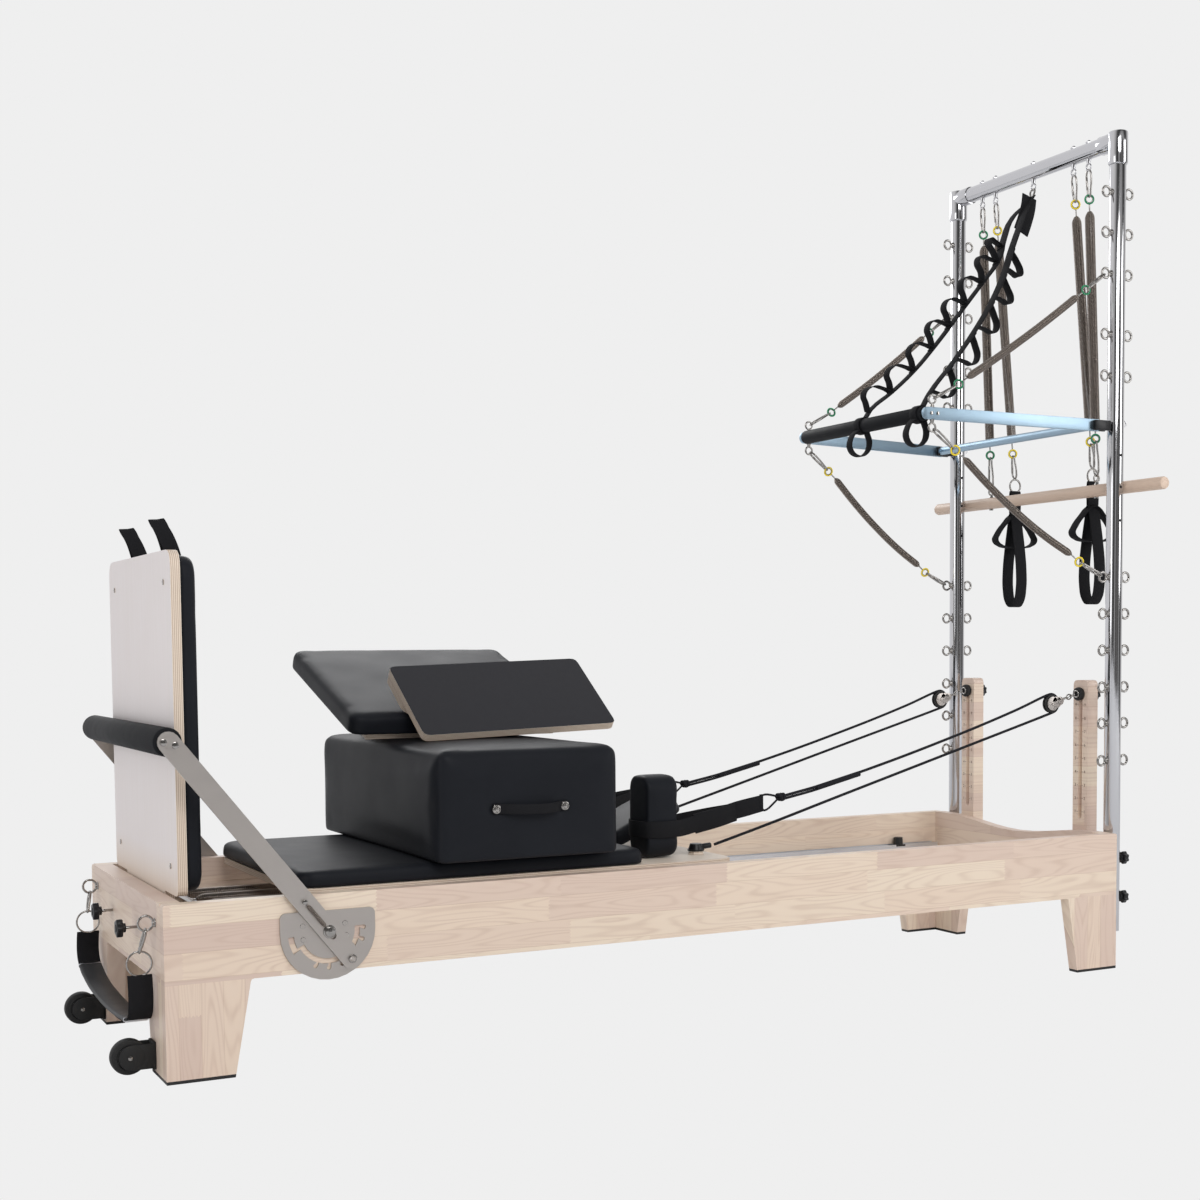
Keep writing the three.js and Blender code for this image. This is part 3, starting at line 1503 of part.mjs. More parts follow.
function pushArmPlate() {
  const start = at(gripX, armEndY, gripZ);
  const end = at(armBackX, towerHalfWidth, hingeZ);
  const along = end.clone().sub(start);
  const length = along.length();
  along.normalize();
  const up = alongZ.clone().addScaledVector(along, -along.z).normalize();
  const half = pushDepth / 2;
  const shape = outline([[-half, -half, half], [length, -half], [length, half], [-half, half, half]]);
  const out = new THREE.Vector3().crossVectors(along, up);
  return board(shape, pushSheet, along, up, start.clone().addScaledVector(out, -pushSheet / 2), 3);
}

function pushThroughBar() {
  const pieces = [rod(at(gripX, -armEndY, gripZ), at(gripX, armEndY, gripZ), gripTube, 10)];
  const arm = pushArmPlate();
  pieces.push(arm, mirrored(arm));
  pieces.push(rod(at(crossTubeX, -towerHalfWidth, hingeZ), at(crossTubeX, towerHalfWidth, hingeZ), crossTubeRadius, 8));
  for (const side of [-1, 1]) {
    const y = side * towerHalfWidth;
    const tineInner = lugHalfThickness + forkGap;
    const tineOuter = tineInner + forkSheet;
    const tine = new THREE.Shape();
    tine.moveTo(forkFront - forkRound, hingeZ - forkRound);
    tine.absarc(hingeX, hingeZ, forkRound, -Math.PI / 2, Math.PI / 2, false);
    tine.lineTo(forkFront - forkRound, hingeZ + forkRound);
    tine.closePath();
    pieces.push(uprightAlongX(tine, y + tineInner, y + tineOuter, 3));
    pieces.push(uprightAlongX(tine, y - tineOuter, y - tineInner, 3));
    pieces.push(box([forkFront - forkRound, lugFront - 2 * overrun - forkRound / 2], [y - tineOuter, y + tineOuter],
      [hingeZ - forkRound, hingeZ + forkRound]));
    pieces.push(rod(at(hingeX, y - tineOuter - overrun, hingeZ), at(hingeX, y + tineOuter + overrun, hingeZ),
      hingePin, 8));
    for (const rise of [-pushEyeRise, pushEyeRise]) {
      const seat = at(pushEyeX, side * armEndY, gripZ);
      const centre = at(pushEyeX, side * armEndY, gripZ + rise);
      pieces.push(...eyeBolt(seat, centre, alongY, pushEyeRadius, eyeWire, eyeWire * 1.6));
    }
  }
  return fuse(pieces);
}
add('push_through_bar', pushThroughBar(), paleAluminium);

function pushThroughGrip() {
  const edge = gripRadius / 6;
  return turned(at(gripX, 0, gripZ), alongY, [
    [gripTube + runningGap, -gripHalf],
    [gripRadius - edge, -gripHalf],
    [gripRadius, -gripHalf + edge],
    [gripRadius, gripHalf - edge],
    [gripRadius - edge, gripHalf],
    [gripTube + runningGap, gripHalf],
    [gripTube + runningGap, -gripHalf],
  ], 12);
}
add('push_through_grip', pushThroughGrip(), blackFoam);

// Bar springs: from the eyes at the grip's ends to the third and sixth eyes of the uprights

const barSpringRadius = 10;
const barSpringCurls = 4;
const barRingY = 277;
const towerRingY = 320;
const upperBarRing = [90.6, 74.4];
const upperTowerRing = [-101, -48];
const lowerBarRing = [81, -86.5];
const lowerTowerRing = [-116, 37];
const upperSag = 6;
const lowerSag = 16;

function barSpring(rise, barRing, towerRing, towerEyeZ, sag) {
  const barHold = holdIn(pushEyeRadius, eyeWire);
  const towerHold = holdIn(eyeRadius, eyeWire, eyeSteps);
  return towerSpring({
    radius: barSpringRadius,
    curls: barSpringCurls,
    sag,
    ends: [
      {
        eye: at(pushEyeX, armEndY, gripZ + rise),
        hold: barHold,
        ringCentre: at(gripX + barRing[0], barRingY, gripZ + barRing[1]),
        hookAcross: alongY,
      },
      {
        eye: at(towerX - eyeReach, towerHalfWidth, towerEyeZ),
        hold: towerHold,
        ringCentre: at(towerX + towerRing[0], towerRingY, towerEyeZ + towerRing[1]),
        hookAcross: alongY,
      },
    ],
  });
}
addPair('bar_spring_upper', barSpring(pushEyeRise, upperBarRing, upperTowerRing, eyeHeights[2], upperSag), springSteel);
addPair('bar_spring_lower', barSpring(-pushEyeRise, lowerBarRing, lowerTowerRing, eyeHeights[5], lowerSag), springSteel);

// Roll-down bar: a wooden bar on two springs, resting against the outer side of the uprights

const rollBarRadius = 16;
const rollBarX = towerX + tubeRadius * Math.cos(Math.PI / tubeFaces) + seatGap + rollBarRadius;
const rollBarZ = 1232;
const rollBarHalf = 460;
const rollBarEdge = 4;
const rollEyeRise = 32;
const rollEyeRadius = 9;
const rollEyeShank = 3;

function rollDownBar() {
  const bar = turned(at(rollBarX, 0, rollBarZ), alongY, [
    [0, -rollBarHalf],
    [rollBarRadius - rollBarEdge, -rollBarHalf],
    [rollBarRadius, -rollBarHalf + rollBarEdge],
    [rollBarRadius, rollBarHalf - rollBarEdge],
    [rollBarRadius - rollBarEdge, rollBarHalf],
    [0, rollBarHalf],
  ], 12);
  const pieces = [bar];
  for (const y of [crossbarEyes[0], crossbarEyes[4]]) {
    const seat = at(rollBarX, y, rollBarZ + rollBarRadius - 2 * overrun);
    const centre = at(rollBarX, y, rollBarZ + rollEyeRise);
    pieces.push(...eyeBolt(seat, centre, alongY, rollEyeRadius, eyeWire, rollEyeShank));
    const under = at(rollBarX, y, rollBarZ - rollBarRadius + 2 * overrun);
    pieces.push(rod(under, under.clone().addScaledVector(alongZ, -rollBarEdge), rollEyeShank * 2, 4));
  }
  return fuse(pieces);
}
add('roll_down_bar', rollDownBar(), ash);

// Hanging springs: the outer pair carries the roll-down bar and the inner pair the hand loops

const hangingRadius = 13;
const hangingCurls = 4;
const hangingRingDrop = 121;
const hangingTopRing = crossbarHeight - hangingRingDrop;
const hangingFootRing = 1367;
const loopRingX = rollBarX + rollBarRadius + 22.5;
const loopRingZ = 1277;
const loopRingRadius = 19;

function hangingSpring(y, footEye, footHold, acrossFoot) {
  const eye = at(towerX, y, crossbarHeight - crossbarEyeDrop);
  const lean = (z) => (eye.z - z) / (eye.z - footEye.z);
  const onLine = (z) => at(eye.x + (footEye.x - eye.x) * lean(z), y, z);
  return towerSpring({
    radius: hangingRadius,
    curls: hangingCurls,
    sag: 0,
    ends: [
      {
        eye,
        hold: holdIn(crossbarEyeRadius, eyeWire),
        ringCentre: onLine(hangingTopRing),
        hookAcross: alongX,
      },
      {
        eye: footEye,
        hold: footHold,
        ringCentre: onLine(hangingFootRing),
        hookAcross: acrossFoot,
      },
    ],
  });
}
const rollBarHold = holdIn(rollEyeRadius, eyeWire);
const loopHold = loopRingRadius - eyeWire - hookWire * hookRestShare - seatGap;
addPair('roll_bar_spring', hangingSpring(crossbarEyes[4], at(rollBarX, crossbarEyes[4], rollBarZ + rollEyeRise),
  rollBarHold, alongY), springSteel);
addPair('hand_loop_spring', hangingSpring(crossbarEyes[3], at(loopRingX, crossbarEyes[3], loopRingZ),
  loopHold, alongY), springSteel);

// Hand loops: a ring, a long loop and a short loop with its cross strap

const webSheet = 3;
const longLoopWidth = 38;
const shortLoopWidth = 30;
const longLoopFoot = 938;
const longLoopHalf = 44;
const shortLoopHalf = 72;
const shortLoopTop = 1196;
const shortLoopUnder = 1126;
const tabHalf = 4;

function handLoop() {
  const y = crossbarEyes[3];
  const tabTop = loopRingZ - loopRingRadius;
  const tabFoot = shortLoopTop;
  const tab = box([loopRingX - longLoopWidth / 2, loopRingX + longLoopWidth / 2], [y - tabHalf, y + tabHalf],
    [tabFoot, tabTop]);
  const height = tabFoot - longLoopFoot;
  const long = [];
  const steps = 10;
  for (let i = 0; i < steps; i += 1) {
    const angle = (i / steps) * 2 * Math.PI;
    const share = (1 - Math.cos(angle)) / 2;
    const swell = Math.sin(angle) * (0.25 + 0.75 * share);
    long.push([at(loopRingX, y + longLoopHalf * swell, tabFoot + webSheet - height * share), alongX, longLoopWidth]);
  }
  const shortRoute = [
    [0, shortLoopTop],
    [-shortLoopHalf * 0.9, shortLoopUnder + shortLoopWidth * 0.5],
    [-shortLoopHalf, shortLoopUnder],
    [-shortLoopHalf * 0.85, shortLoopUnder - shortLoopWidth * 0.5],
    [0, shortLoopUnder - shortLoopWidth * 0.7],
    [shortLoopHalf * 0.85, shortLoopUnder - shortLoopWidth * 0.5],
    [shortLoopHalf, shortLoopUnder],
    [shortLoopHalf * 0.9, shortLoopUnder + shortLoopWidth * 0.5],
  ];
  const short = shortRoute.map(([x, z]) => [at(loopRingX + x, y, z), alongY, shortLoopWidth]);
  return fuse(tab, ring(at(loopRingX, y, loopRingZ), alongY, loopRingRadius, eyeWire, 8),
    strap(long, webSheet, true), strap(short, webSheet, true));
}
addPair('hand_loop', handLoop(), blackWebbing);

// Ladder strap: hung from the middle eye, two looped legs down to the grip of the push-through bar

const ladderWidth = 26;
const ladderSheet = 3;
const ladderWrap = 21.25;
const ladderHang = 54;
const ladderHook = 19;
const ladderHookEndHalf = 8.5;
const ladderHookClearance = 0.7;
// A leg's places: reach from the grip, place across, and share of the rise to the crossbar.
function ladderRoute(places) {
  return places.map(([reach, y, share]) => [gripX + reach, y, gripZ + share * (crossbarHeight - gripZ)]);
}

const ladderLeft = ladderRoute([
  [540, -14, 0.8996], [517, -26, 0.8713], [478, -12, 0.8161], [418, -45, 0.71], [348, -102, 0.5969],
  [310, -100, 0.5332], [234, -96, 0.4074], [159, -93, 0.2843], [101, -76, 0.1867], [58, -42, 0.116],
  [26, -2, 0.06365], [9, 0, 0.03041],
]);
const ladderRight = ladderRoute([
  [540, -14, 0.8996], [517, -27, 0.8713], [469, -62, 0.7977], [372, -130, 0.6365], [316, -174, 0.5431],
  [243, -215, 0.4229], [164, -236, 0.2914], [98, -240, 0.1825], [32, -240, 0.07779], [9, -240, 0.02617],
]);
const ladderLoopShares = [0.26, 0.38, 0.5, 0.62, 0.74, 0.86];
const ladderLoopSpan = 0.09;
const ladderBulge = 50;

function ladderLeg(route, bulgeWay, loopShares) {
  const curve = new THREE.CatmullRomCurve3(route.map((p) => at(...p)), false, 'centripetal');
  const legSteps = 12;
  const pieces = [strap(curve.getSpacedPoints(legSteps).map((place) => [place, alongY, ladderWidth]), ladderSheet)];
  for (const share of loopShares) {
    const steps = 4;
    const stops = [];
    for (let i = 0; i <= steps; i += 1) {
      const turn = i / steps;
      const place = curve.getPointAt(share - ladderLoopSpan / 2 + ladderLoopSpan * turn);
      const along = curve.getTangentAt(share);
      const out = new THREE.Vector3().crossVectors(along, alongY).normalize().multiplyScalar(bulgeWay);
      const spread = Math.sin(2 * Math.PI * turn) * -0.2 * ladderBulge;
      place.addScaledVector(out, ladderBulge * Math.sin(Math.PI * turn)).addScaledVector(along, spread);
      stops.push([place, alongY, ladderWidth]);
    }
    pieces.push(strap(stops, ladderSheet));
  }
  return pieces;
}

function ladderWrapLoop(y) {
  const wrap = [];
  const steps = 10;
  for (let i = 0; i < steps; i += 1) {
    const angle = (i / steps) * 2 * Math.PI;
    wrap.push([at(gripX + ladderWrap * Math.cos(angle), y, gripZ + ladderWrap * Math.sin(angle)), alongY, ladderWidth]);
  }
  const hang = [];
  const hangSteps = 5;
  for (let i = 0; i <= hangSteps; i += 1) {
    const share = i / hangSteps;
    const swell = Math.sin(Math.PI * share);
    hang.push([at(gripX + ladderWrap * 0.5 * (1 - 2 * share), y,
      gripZ - ladderWrap * 0.85 - (ladderHang - ladderWrap) * swell), alongY, ladderWidth]);
  }
  return [strap(wrap, ladderSheet, true), strap(hang, ladderSheet)];
}

function ladderStrap() {
  const eye = at(towerX, 0, crossbarHeight - crossbarEyeDrop);
  const top = at(...ladderLeft[0]);
  const toTop = top.clone().sub(eye).normalize();
  const hookStart = eye.clone().addScaledVector(toTop, holdIn(crossbarEyeRadius, eyeWire) - ladderHookClearance);
  const hook = link(hookStart, top, alongX, ladderHook, hookWire, 0,
    ladderHookEndHalf);
  const bar = rod(at(top.x, top.y - ladderWidth / 2 - hookWire, top.z), at(top.x, top.y + ladderWidth / 2 + hookWire, top.z),
    hookWire, 6);
  return fuse(hook, bar,
    ladderLeg(ladderLeft, -1, ladderLoopShares),
    ladderLeg(ladderRight, 1, ladderLoopShares.slice(0, 5)),
    ladderWrapLoop(ladderLeft.at(-1)[1]), ladderWrapLoop(ladderRight.at(-1)[1]));
}
add('ladder_strap', ladderStrap(), blackWebbing);

// Rope pulleys on the risers

const pulleyZ = 678;
const pulleySetback = 100;
const pulleyX = bedLength - pulleySetback;
const sheaveGroove = 20;
const sheaveRim = 24;
const sheaveHalf = 6;
const sheaveBore = 4.2;
const pulleyPin = 3.5;
const cheekRadius = 26;
const cheekSheet = 2.5;
const cheekGap = 1;
const discRadius = 18;
const discThickness = 14;
const studRadius = 5;
const studZ = 701;
const swivelRadius = 9;
const shackleWire = 3;
const riserKnobGap = 2;

function pulleyBlock() {
  const inner = sheaveHalf + cheekGap;
  const discFace = riserFront - discThickness - seatGap;
  const pieces = [
    rod(at(discFace, riserY, studZ), at(riserFront - seatGap, riserY, studZ), discRadius, 12),
    rod(at(riserFront - overrun, riserY, studZ), at(riserBack + riserKnobGap * 3, riserY, studZ), studRadius, 8),
    rod(at(pulleyX, riserY - inner - cheekSheet, pulleyZ), at(pulleyX, riserY + inner + cheekSheet, pulleyZ),
      pulleyPin, 8),
  ];
  const toDisc = at(discFace - pulleyX, 0, studZ - pulleyZ);
  const reach = toDisc.length();
  toDisc.normalize();
  const up = new THREE.Vector3().crossVectors(toDisc, alongY);
  for (const side of [-1, 1]) {
    const cheek = new THREE.Shape();
    cheek.absarc(0, 0, cheekRadius * 0.62, Math.PI / 2, Math.PI * 1.5, false);
    cheek.lineTo(reach * 0.55, -swivelRadius);
    cheek.lineTo(reach * 0.55, swivelRadius);
    cheek.closePath();
    const low = side > 0 ? riserY + inner : riserY - inner - cheekSheet;
    pieces.push(board(cheek, cheekSheet, toDisc, up.clone().negate(), at(pulleyX, low, pulleyZ), 3));
  }
  const neck = at(pulleyX, riserY, pulleyZ).addScaledVector(toDisc, reach * 0.5);
  const neckEnd = at(pulleyX, riserY, pulleyZ).addScaledVector(toDisc, reach * 0.62);
  pieces.push(rod(neck.clone().addScaledVector(alongY, -inner - cheekSheet),
    neck.clone().addScaledVector(alongY, inner + cheekSheet), shackleWire, 4));
  pieces.push(rod(neck, neckEnd, swivelRadius * 0.7, 6));
  pieces.push(link(neckEnd, at(discFace, riserY, studZ).addScaledVector(toDisc, shackleWire), up, swivelRadius * 2,
    shackleWire, 0));
  return fuse(pieces);
}

function sheave() {
  return turned(at(pulleyX, riserY, pulleyZ), alongY, [
    [sheaveBore, -sheaveHalf],
    [sheaveRim, -sheaveHalf],
    [sheaveGroove, -sheaveHalf * 0.35],
    [sheaveGroove, sheaveHalf * 0.35],
    [sheaveRim, sheaveHalf],
    [sheaveBore, sheaveHalf],
    [sheaveBore, -sheaveHalf],
  ], 14);
}

function riserKnob() {
  const under = at(riserBack + riserKnobGap, riserY, studZ);
  const knob = board(lobedOutline(knobRadius, knobLobes, knobDepthShare), knobThickness + knobNeck, alongY, alongZ, under);
  const bore = rod(at(riserBack, riserY, studZ), at(riserBack + riserKnobGap * 3 + seatGap, riserY, studZ),
    studRadius + runningGap, 8);
  const washer = rod(at(riserBack + seatGap, riserY, studZ), at(riserBack + riserKnobGap + overrun, riserY, studZ),
    knobRadius * 0.7, 8);
  return carve(fuse(knob, washer), bore);
}
addPair('pulley_block', pulleyBlock(), chrome);
addPair('sheave', sheave(), blackPlastic);
addPair('riser_knob', riserKnob(), blackPlastic);

// Ropes: from the carriage cleat round the pulley and back to a knot at the strap

// A curve whose steps follow its control points, so that tight turns get short steps.
class EvenlyStoppedCurve extends THREE.CatmullRomCurve3 {
  getPointAt(share, target) {
    return this.getPoint(share, target);
  }

  getTangentAt(share, target) {
    return this.getTangent(share, target);
  }
}

const ropeRadius = 3.5;
const ropeFaces = 6;
const sleeveRadius = 7;
const knotRadius = 11;
const strapEndX = 1420;
const strapEndZ = 458;
const ropeLoopRadius = 15;
const ropeStart = [1295, 228, 372];
const knotPlace = [1473, riserY, 474.5];
const sleevePlace = [1700, riserY, 524];

function rope() {
  const wrap = sheaveGroove + ropeRadius + seatGap * 2;
  const line = [at(...ropeStart)];
  const lower = [[1400, 232, 401], [1650, 232, 471], [1950, 233, 555]];
  lower.forEach((place) => line.push(at(...place)));
  const wrapFrom = -80;
  const wrapTo = 102;
  const wrapSteps = 8;
  for (let i = 0; i <= wrapSteps; i += 1) {
    const angle = THREE.MathUtils.degToRad(wrapFrom + ((wrapTo - wrapFrom) * i) / wrapSteps);
    line.push(at(pulleyX + wrap * Math.cos(angle), riserY, pulleyZ + wrap * Math.sin(angle)));
  }
  const upper = [[2180, 233, 662], [1950, 233, 592], sleevePlace, [1600, 233, 500], knotPlace];
  upper.forEach((place) => line.push(at(...place)));
  const section = new THREE.Shape();
  section.absarc(0, 0, ropeRadius, 0, 2 * Math.PI, false);
  const tube = new THREE.ExtrudeGeometry(section, {
    steps: line.length - 1,
    extrudePath: new EvenlyStoppedCurve(line, false, 'centripetal'),
    curveSegments: ropeFaces / 2,
  });
  const sleeve = rod(at(...sleevePlace), at(...knotPlace), sleeveRadius * 0.7, 6, sleeveRadius);
  const knot = moved(new THREE.SphereGeometry(knotRadius, 6, 4), ...knotPlace);
  const endLoop = ring(at(strapEndX, riserY, strapEndZ), alongY, ropeLoopRadius, ropeRadius, 8, 4);
  const tail = rod(at(...knotPlace), at(strapEndX + ropeLoopRadius, riserY, strapEndZ), ropeRadius * 1.4, 4);
  return fuse(tube, sleeve, knot, endLoop, tail);
}
addPair('rope', rope(), blackWebbing);

// Rope straps: a webbing loop laid round each shoulder rest, held by the end loop of the rope

const ropeStrapWidth = 38;
const ropeStrapEndWidth = 9;
const ropeStrapSheet = 3;
const ropeStrapZ = 420;

function ropeStrap() {
  const away = ropeStrapSheet / 2 + seatGap * 2;
  const tipX = strapEndX - ropeLoopRadius + ropeRadius + ropeStrapSheet / 2 + 4 * overrun;
  const front = shoulderStart - away;
  const back = shoulderEnd + away;
  const inner = shoulderInner - away;
  const outer = shoulderOuter + away;
  const ease = shoulderBevel;
  const route = [
    [tipX, riserY - ropeStrapSheet * 2, strapEndZ, ropeStrapEndWidth],
    [tipX, riserY + ropeStrapSheet * 2, strapEndZ, ropeStrapEndWidth],
    [back + 110, riserY + 34, ropeStrapZ + 22, ropeStrapWidth * 0.8],
    [back, outer - ease / 3, ropeStrapZ, ropeStrapWidth],
    [back - ease, outer + ease / 4, ropeStrapZ, ropeStrapWidth],
    [front + ease, outer + ease / 4, ropeStrapZ, ropeStrapWidth],
    [front - ease / 4, outer - ease, ropeStrapZ, ropeStrapWidth],
    [front - ease / 4, inner + ease, ropeStrapZ, ropeStrapWidth],
    [front + ease, inner - ease / 4, ropeStrapZ, ropeStrapWidth],
    [back - ease, inner - ease / 4, ropeStrapZ, ropeStrapWidth],
    [back, inner + ease / 3, ropeStrapZ, ropeStrapWidth],
    [back + 110, riserY - 34, ropeStrapZ + 22, ropeStrapWidth * 0.8],
  ];
  return strap(route.map(([x, y, z, width]) => [at(x, y, z), alongZ, width]), ropeStrapSheet, true);
}
addPair('rope_strap', ropeStrap(), blackWebbing);

// The origin lies on the floor under the middle of the whole object
const bounds = new THREE.Box3().setFromObject(unit, true);
unit.position.set(-(bounds.min.x + bounds.max.x) / 2, -(bounds.min.y + bounds.max.y) / 2, 0);
unit.updateMatrixWorld(true);

console.log(`springs: ${curlCount} curls, least gap ${leastCoilGap.toFixed(2)} mm`);
export default unit;
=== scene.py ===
# %% [markdown]
# A pilates tower unit, dressed in Blender.
# The solid model is loaded first and stays where it is. Every piece made below is fitted to it,
# in metres, and most ride on one of its bodies, so that the joints keep working.

import math

import bmesh
import bpy
from mathutils import Euler, Matrix, Vector


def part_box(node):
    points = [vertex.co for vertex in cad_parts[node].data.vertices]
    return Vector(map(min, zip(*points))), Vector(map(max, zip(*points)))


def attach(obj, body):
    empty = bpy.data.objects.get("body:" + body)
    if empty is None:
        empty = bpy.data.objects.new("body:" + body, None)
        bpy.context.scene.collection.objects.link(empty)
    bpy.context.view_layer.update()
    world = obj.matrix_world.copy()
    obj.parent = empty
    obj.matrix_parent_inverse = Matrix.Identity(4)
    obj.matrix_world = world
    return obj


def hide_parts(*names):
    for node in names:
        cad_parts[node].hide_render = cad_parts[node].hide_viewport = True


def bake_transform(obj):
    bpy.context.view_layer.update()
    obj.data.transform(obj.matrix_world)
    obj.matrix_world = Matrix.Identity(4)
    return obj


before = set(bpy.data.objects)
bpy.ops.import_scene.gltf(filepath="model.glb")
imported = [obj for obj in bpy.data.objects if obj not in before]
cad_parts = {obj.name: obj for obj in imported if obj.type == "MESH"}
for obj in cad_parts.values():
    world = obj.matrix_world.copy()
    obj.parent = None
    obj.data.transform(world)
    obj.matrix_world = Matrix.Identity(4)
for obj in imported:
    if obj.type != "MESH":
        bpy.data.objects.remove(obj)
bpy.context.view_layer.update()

# %% [markdown]
# Places below are in millimetres from the middle of the foot end, on the floor: X runs towards the
# tower, Y away from the camera, Z up. This is how the maker's drawing would give them. One function
# turns such a place into metres in the frame of the solid model, and another does so for a step.

# %% Millimetres to the frame
mm = 0.001
near_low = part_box("side_frame_near")[0]
far_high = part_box("side_frame_far")[1]
foot_middle = Vector((near_low.x, (near_low.y + far_high.y) / 2, 0))
both_sides = ((-1, "near"), (1, "far"))


def by(x, y, z):
    """A step given in millimetres."""
    return Vector((x, y, z)) * mm


def at(x, y, z):
    """A place given in millimetres from the middle of the foot end."""
    return foot_middle + by(x, y, z)


print("middle of the foot end:", [round(value, 4) for value in foot_middle])

# %% [markdown]
# The camera stands at the foot end, at the height of a person who sits. Its picture is shifted
# a little, as with a lens that looks straight on and is cropped afterwards.

# %% Camera
camera_place = (-692.74, -3662.67, 831.07)
yaw = math.radians(62.035)
pitch = math.radians(3.6016)
roll = math.radians(-0.4178)
camera_data = bpy.data.cameras.new("camera")
camera_data.lens = 51.38
camera_data.sensor_width = 36
camera_data.shift_x = -0.04286
camera_data.shift_y = 0.12915
camera = bpy.data.objects.new("camera", camera_data)
bpy.context.scene.collection.objects.link(camera)
turn = Matrix.Rotation(yaw - math.pi / 2, 4, "Z")
tip = Matrix.Rotation(math.pi / 2 - pitch, 4, "X")
lean = Matrix.Rotation(roll, 4, "Z")
camera.matrix_world = Matrix.Translation(at(*camera_place)) @ turn @ tip @ lean
bpy.context.scene.camera = camera

# %% [markdown]
# A handful of helpers hold what is done again and again by hand: pick one piece, enter edit mode,
# choose edges by where they are and ease them, and leave the piece with its place in its mesh.

# %% Picking pieces and edges
def pick(piece):
    bpy.ops.object.select_all(action="DESELECT")
    piece.select_set(True)
    bpy.context.view_layer.objects.active = piece
    return piece


def settle(piece):
    """Moves the piece's place into its mesh, so that its object sits at the origin."""
    pick(piece)
    bpy.ops.object.transform_apply(location=True, rotation=True, scale=True)
    return piece


def choose(piece, wanted):
    """Edit mode with only those edges selected for which the given test is true."""
    pick(piece)
    bpy.ops.object.mode_set(mode="EDIT")
    bpy.ops.mesh.select_mode(type="EDGE")
    bpy.ops.mesh.select_all(action="DESELECT")
    shape = bmesh.from_edit_mesh(piece.data)
    for edge in shape.edges:
        if wanted(edge):
            edge.select_set(True)
    bmesh.update_edit_mesh(piece.data)


def done():
    bpy.ops.object.mode_set(mode="OBJECT")


def ease(piece, offset, segments, wanted):
    """Rounds the edges for which the test is true, by an offset in millimetres."""
    choose(piece, wanted)
    bpy.ops.mesh.bevel(offset=offset * mm, segments=segments, affect="EDGES")
    done()


def smooth(piece, angle=35):
    pick(piece)
    bpy.ops.object.shade_smooth_by_angle(angle=math.radians(angle))
    return piece


def joined(name, pieces):
    """One mesh of several pieces."""
    bpy.ops.object.select_all(action="DESELECT")
    for piece in pieces:
        piece.select_set(True)
    bpy.context.view_layer.objects.active = pieces[0]
    if len(pieces) > 1:
        bpy.ops.object.join()
    pieces[0].name = name
    pieces[0].data.name = name
    return pieces[0]


def dress(piece, finish):
    piece.data.materials.clear()
    piece.data.materials.append(finish)


def fit_on(piece, body, finish, *nodes):
    """Gives the piece its finish, lets it ride on its body and stand for its solid nodes."""
    dress(piece, finish)
    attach(piece, body)
    if nodes:
        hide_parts(*nodes)
    return piece


def turn_to(direction):
    """The turn that lays the Z axis along a direction."""
    return Vector(direction).to_track_quat("Z", "Y").to_euler()

# %% [markdown]
# Round bars, tubes, washers and screws start as a cylinder. Its two rims are bevelled, because no
# turned part has a knife edge, and the bevel is what catches the light.

# %% Round bars and rings
def bar(start, end, radius, sides=32, rim=0.8):
    start, end = Vector(start), Vector(end)
    along = end - start
    bpy.ops.mesh.primitive_cylinder_add(vertices=sides, radius=radius * mm, depth=along.length,
                                        location=(start + end) / 2, rotation=turn_to(along))
    piece = bpy.context.object
    settle(piece)
    if rim:
        way = along.normalized()
        ease(piece, rim, 2, lambda edge: any(abs(face.normal.dot(way)) > 0.99 for face in edge.link_faces))
    return smooth(piece)


def hoop(centre, normal, radius, wire, around=24, section=8):
    """A closed wire ring."""
    bpy.ops.mesh.primitive_torus_add(major_segments=around, minor_segments=section,
                                     major_radius=radius * mm, minor_radius=wire * mm,
                                     location=centre, rotation=turn_to(normal))
    piece = settle(bpy.context.object)
    bpy.ops.object.shade_smooth()
    return piece


def ball(centre, radius, rings=10):
    bpy.ops.mesh.primitive_uv_sphere_add(segments=rings * 2, ring_count=rings, radius=radius * mm,
                                         location=centre)
    piece = settle(bpy.context.object)
    bpy.ops.object.shade_smooth()
    return piece


def block(low, high, rim=1.5, segments=2):
    """A block between two corners, given in millimetres, with eased edges."""
    low, high = at(*low), at(*high)
    bpy.ops.mesh.primitive_cube_add(size=1, location=(low + high) / 2)
    piece = bpy.context.object
    piece.scale = high - low
    settle(piece)
    ease(piece, rim, segments, lambda edge: True)
    return smooth(piece)

# %% [markdown]
# Wires, cords and straps follow a route, so they start as a curve through a few points. A round
# bevel makes a wire of it. A flat strap gets its width from the curve's extrude value and its
# thickness from the bevel, and the curve's Z axis is laid across the strap.

# %% Wires and straps along a route
def route_curve(points, closed=False, across="z"):
    swap = {"z": Matrix.Identity(3),
            "y": Matrix(((1, 0, 0), (0, 0, 1), (0, -1, 0))),
            "x": Matrix(((0, 1, 0), (0, 0, 1), (1, 0, 0)))}[across]
    bpy.ops.curve.primitive_bezier_curve_add()
    piece = bpy.context.object
    spline = piece.data.splines[0]
    spline.bezier_points.add(len(points) - 2)
    for knot, place in zip(spline.bezier_points, points):
        knot.co = swap @ Vector(place)
        knot.handle_left_type = "AUTO"
        knot.handle_right_type = "AUTO"
        knot.radius = 1
    spline.use_cyclic_u = closed
    piece.data.use_fill_caps = True
    piece.matrix_world = swap.transposed().to_4x4()
    return piece


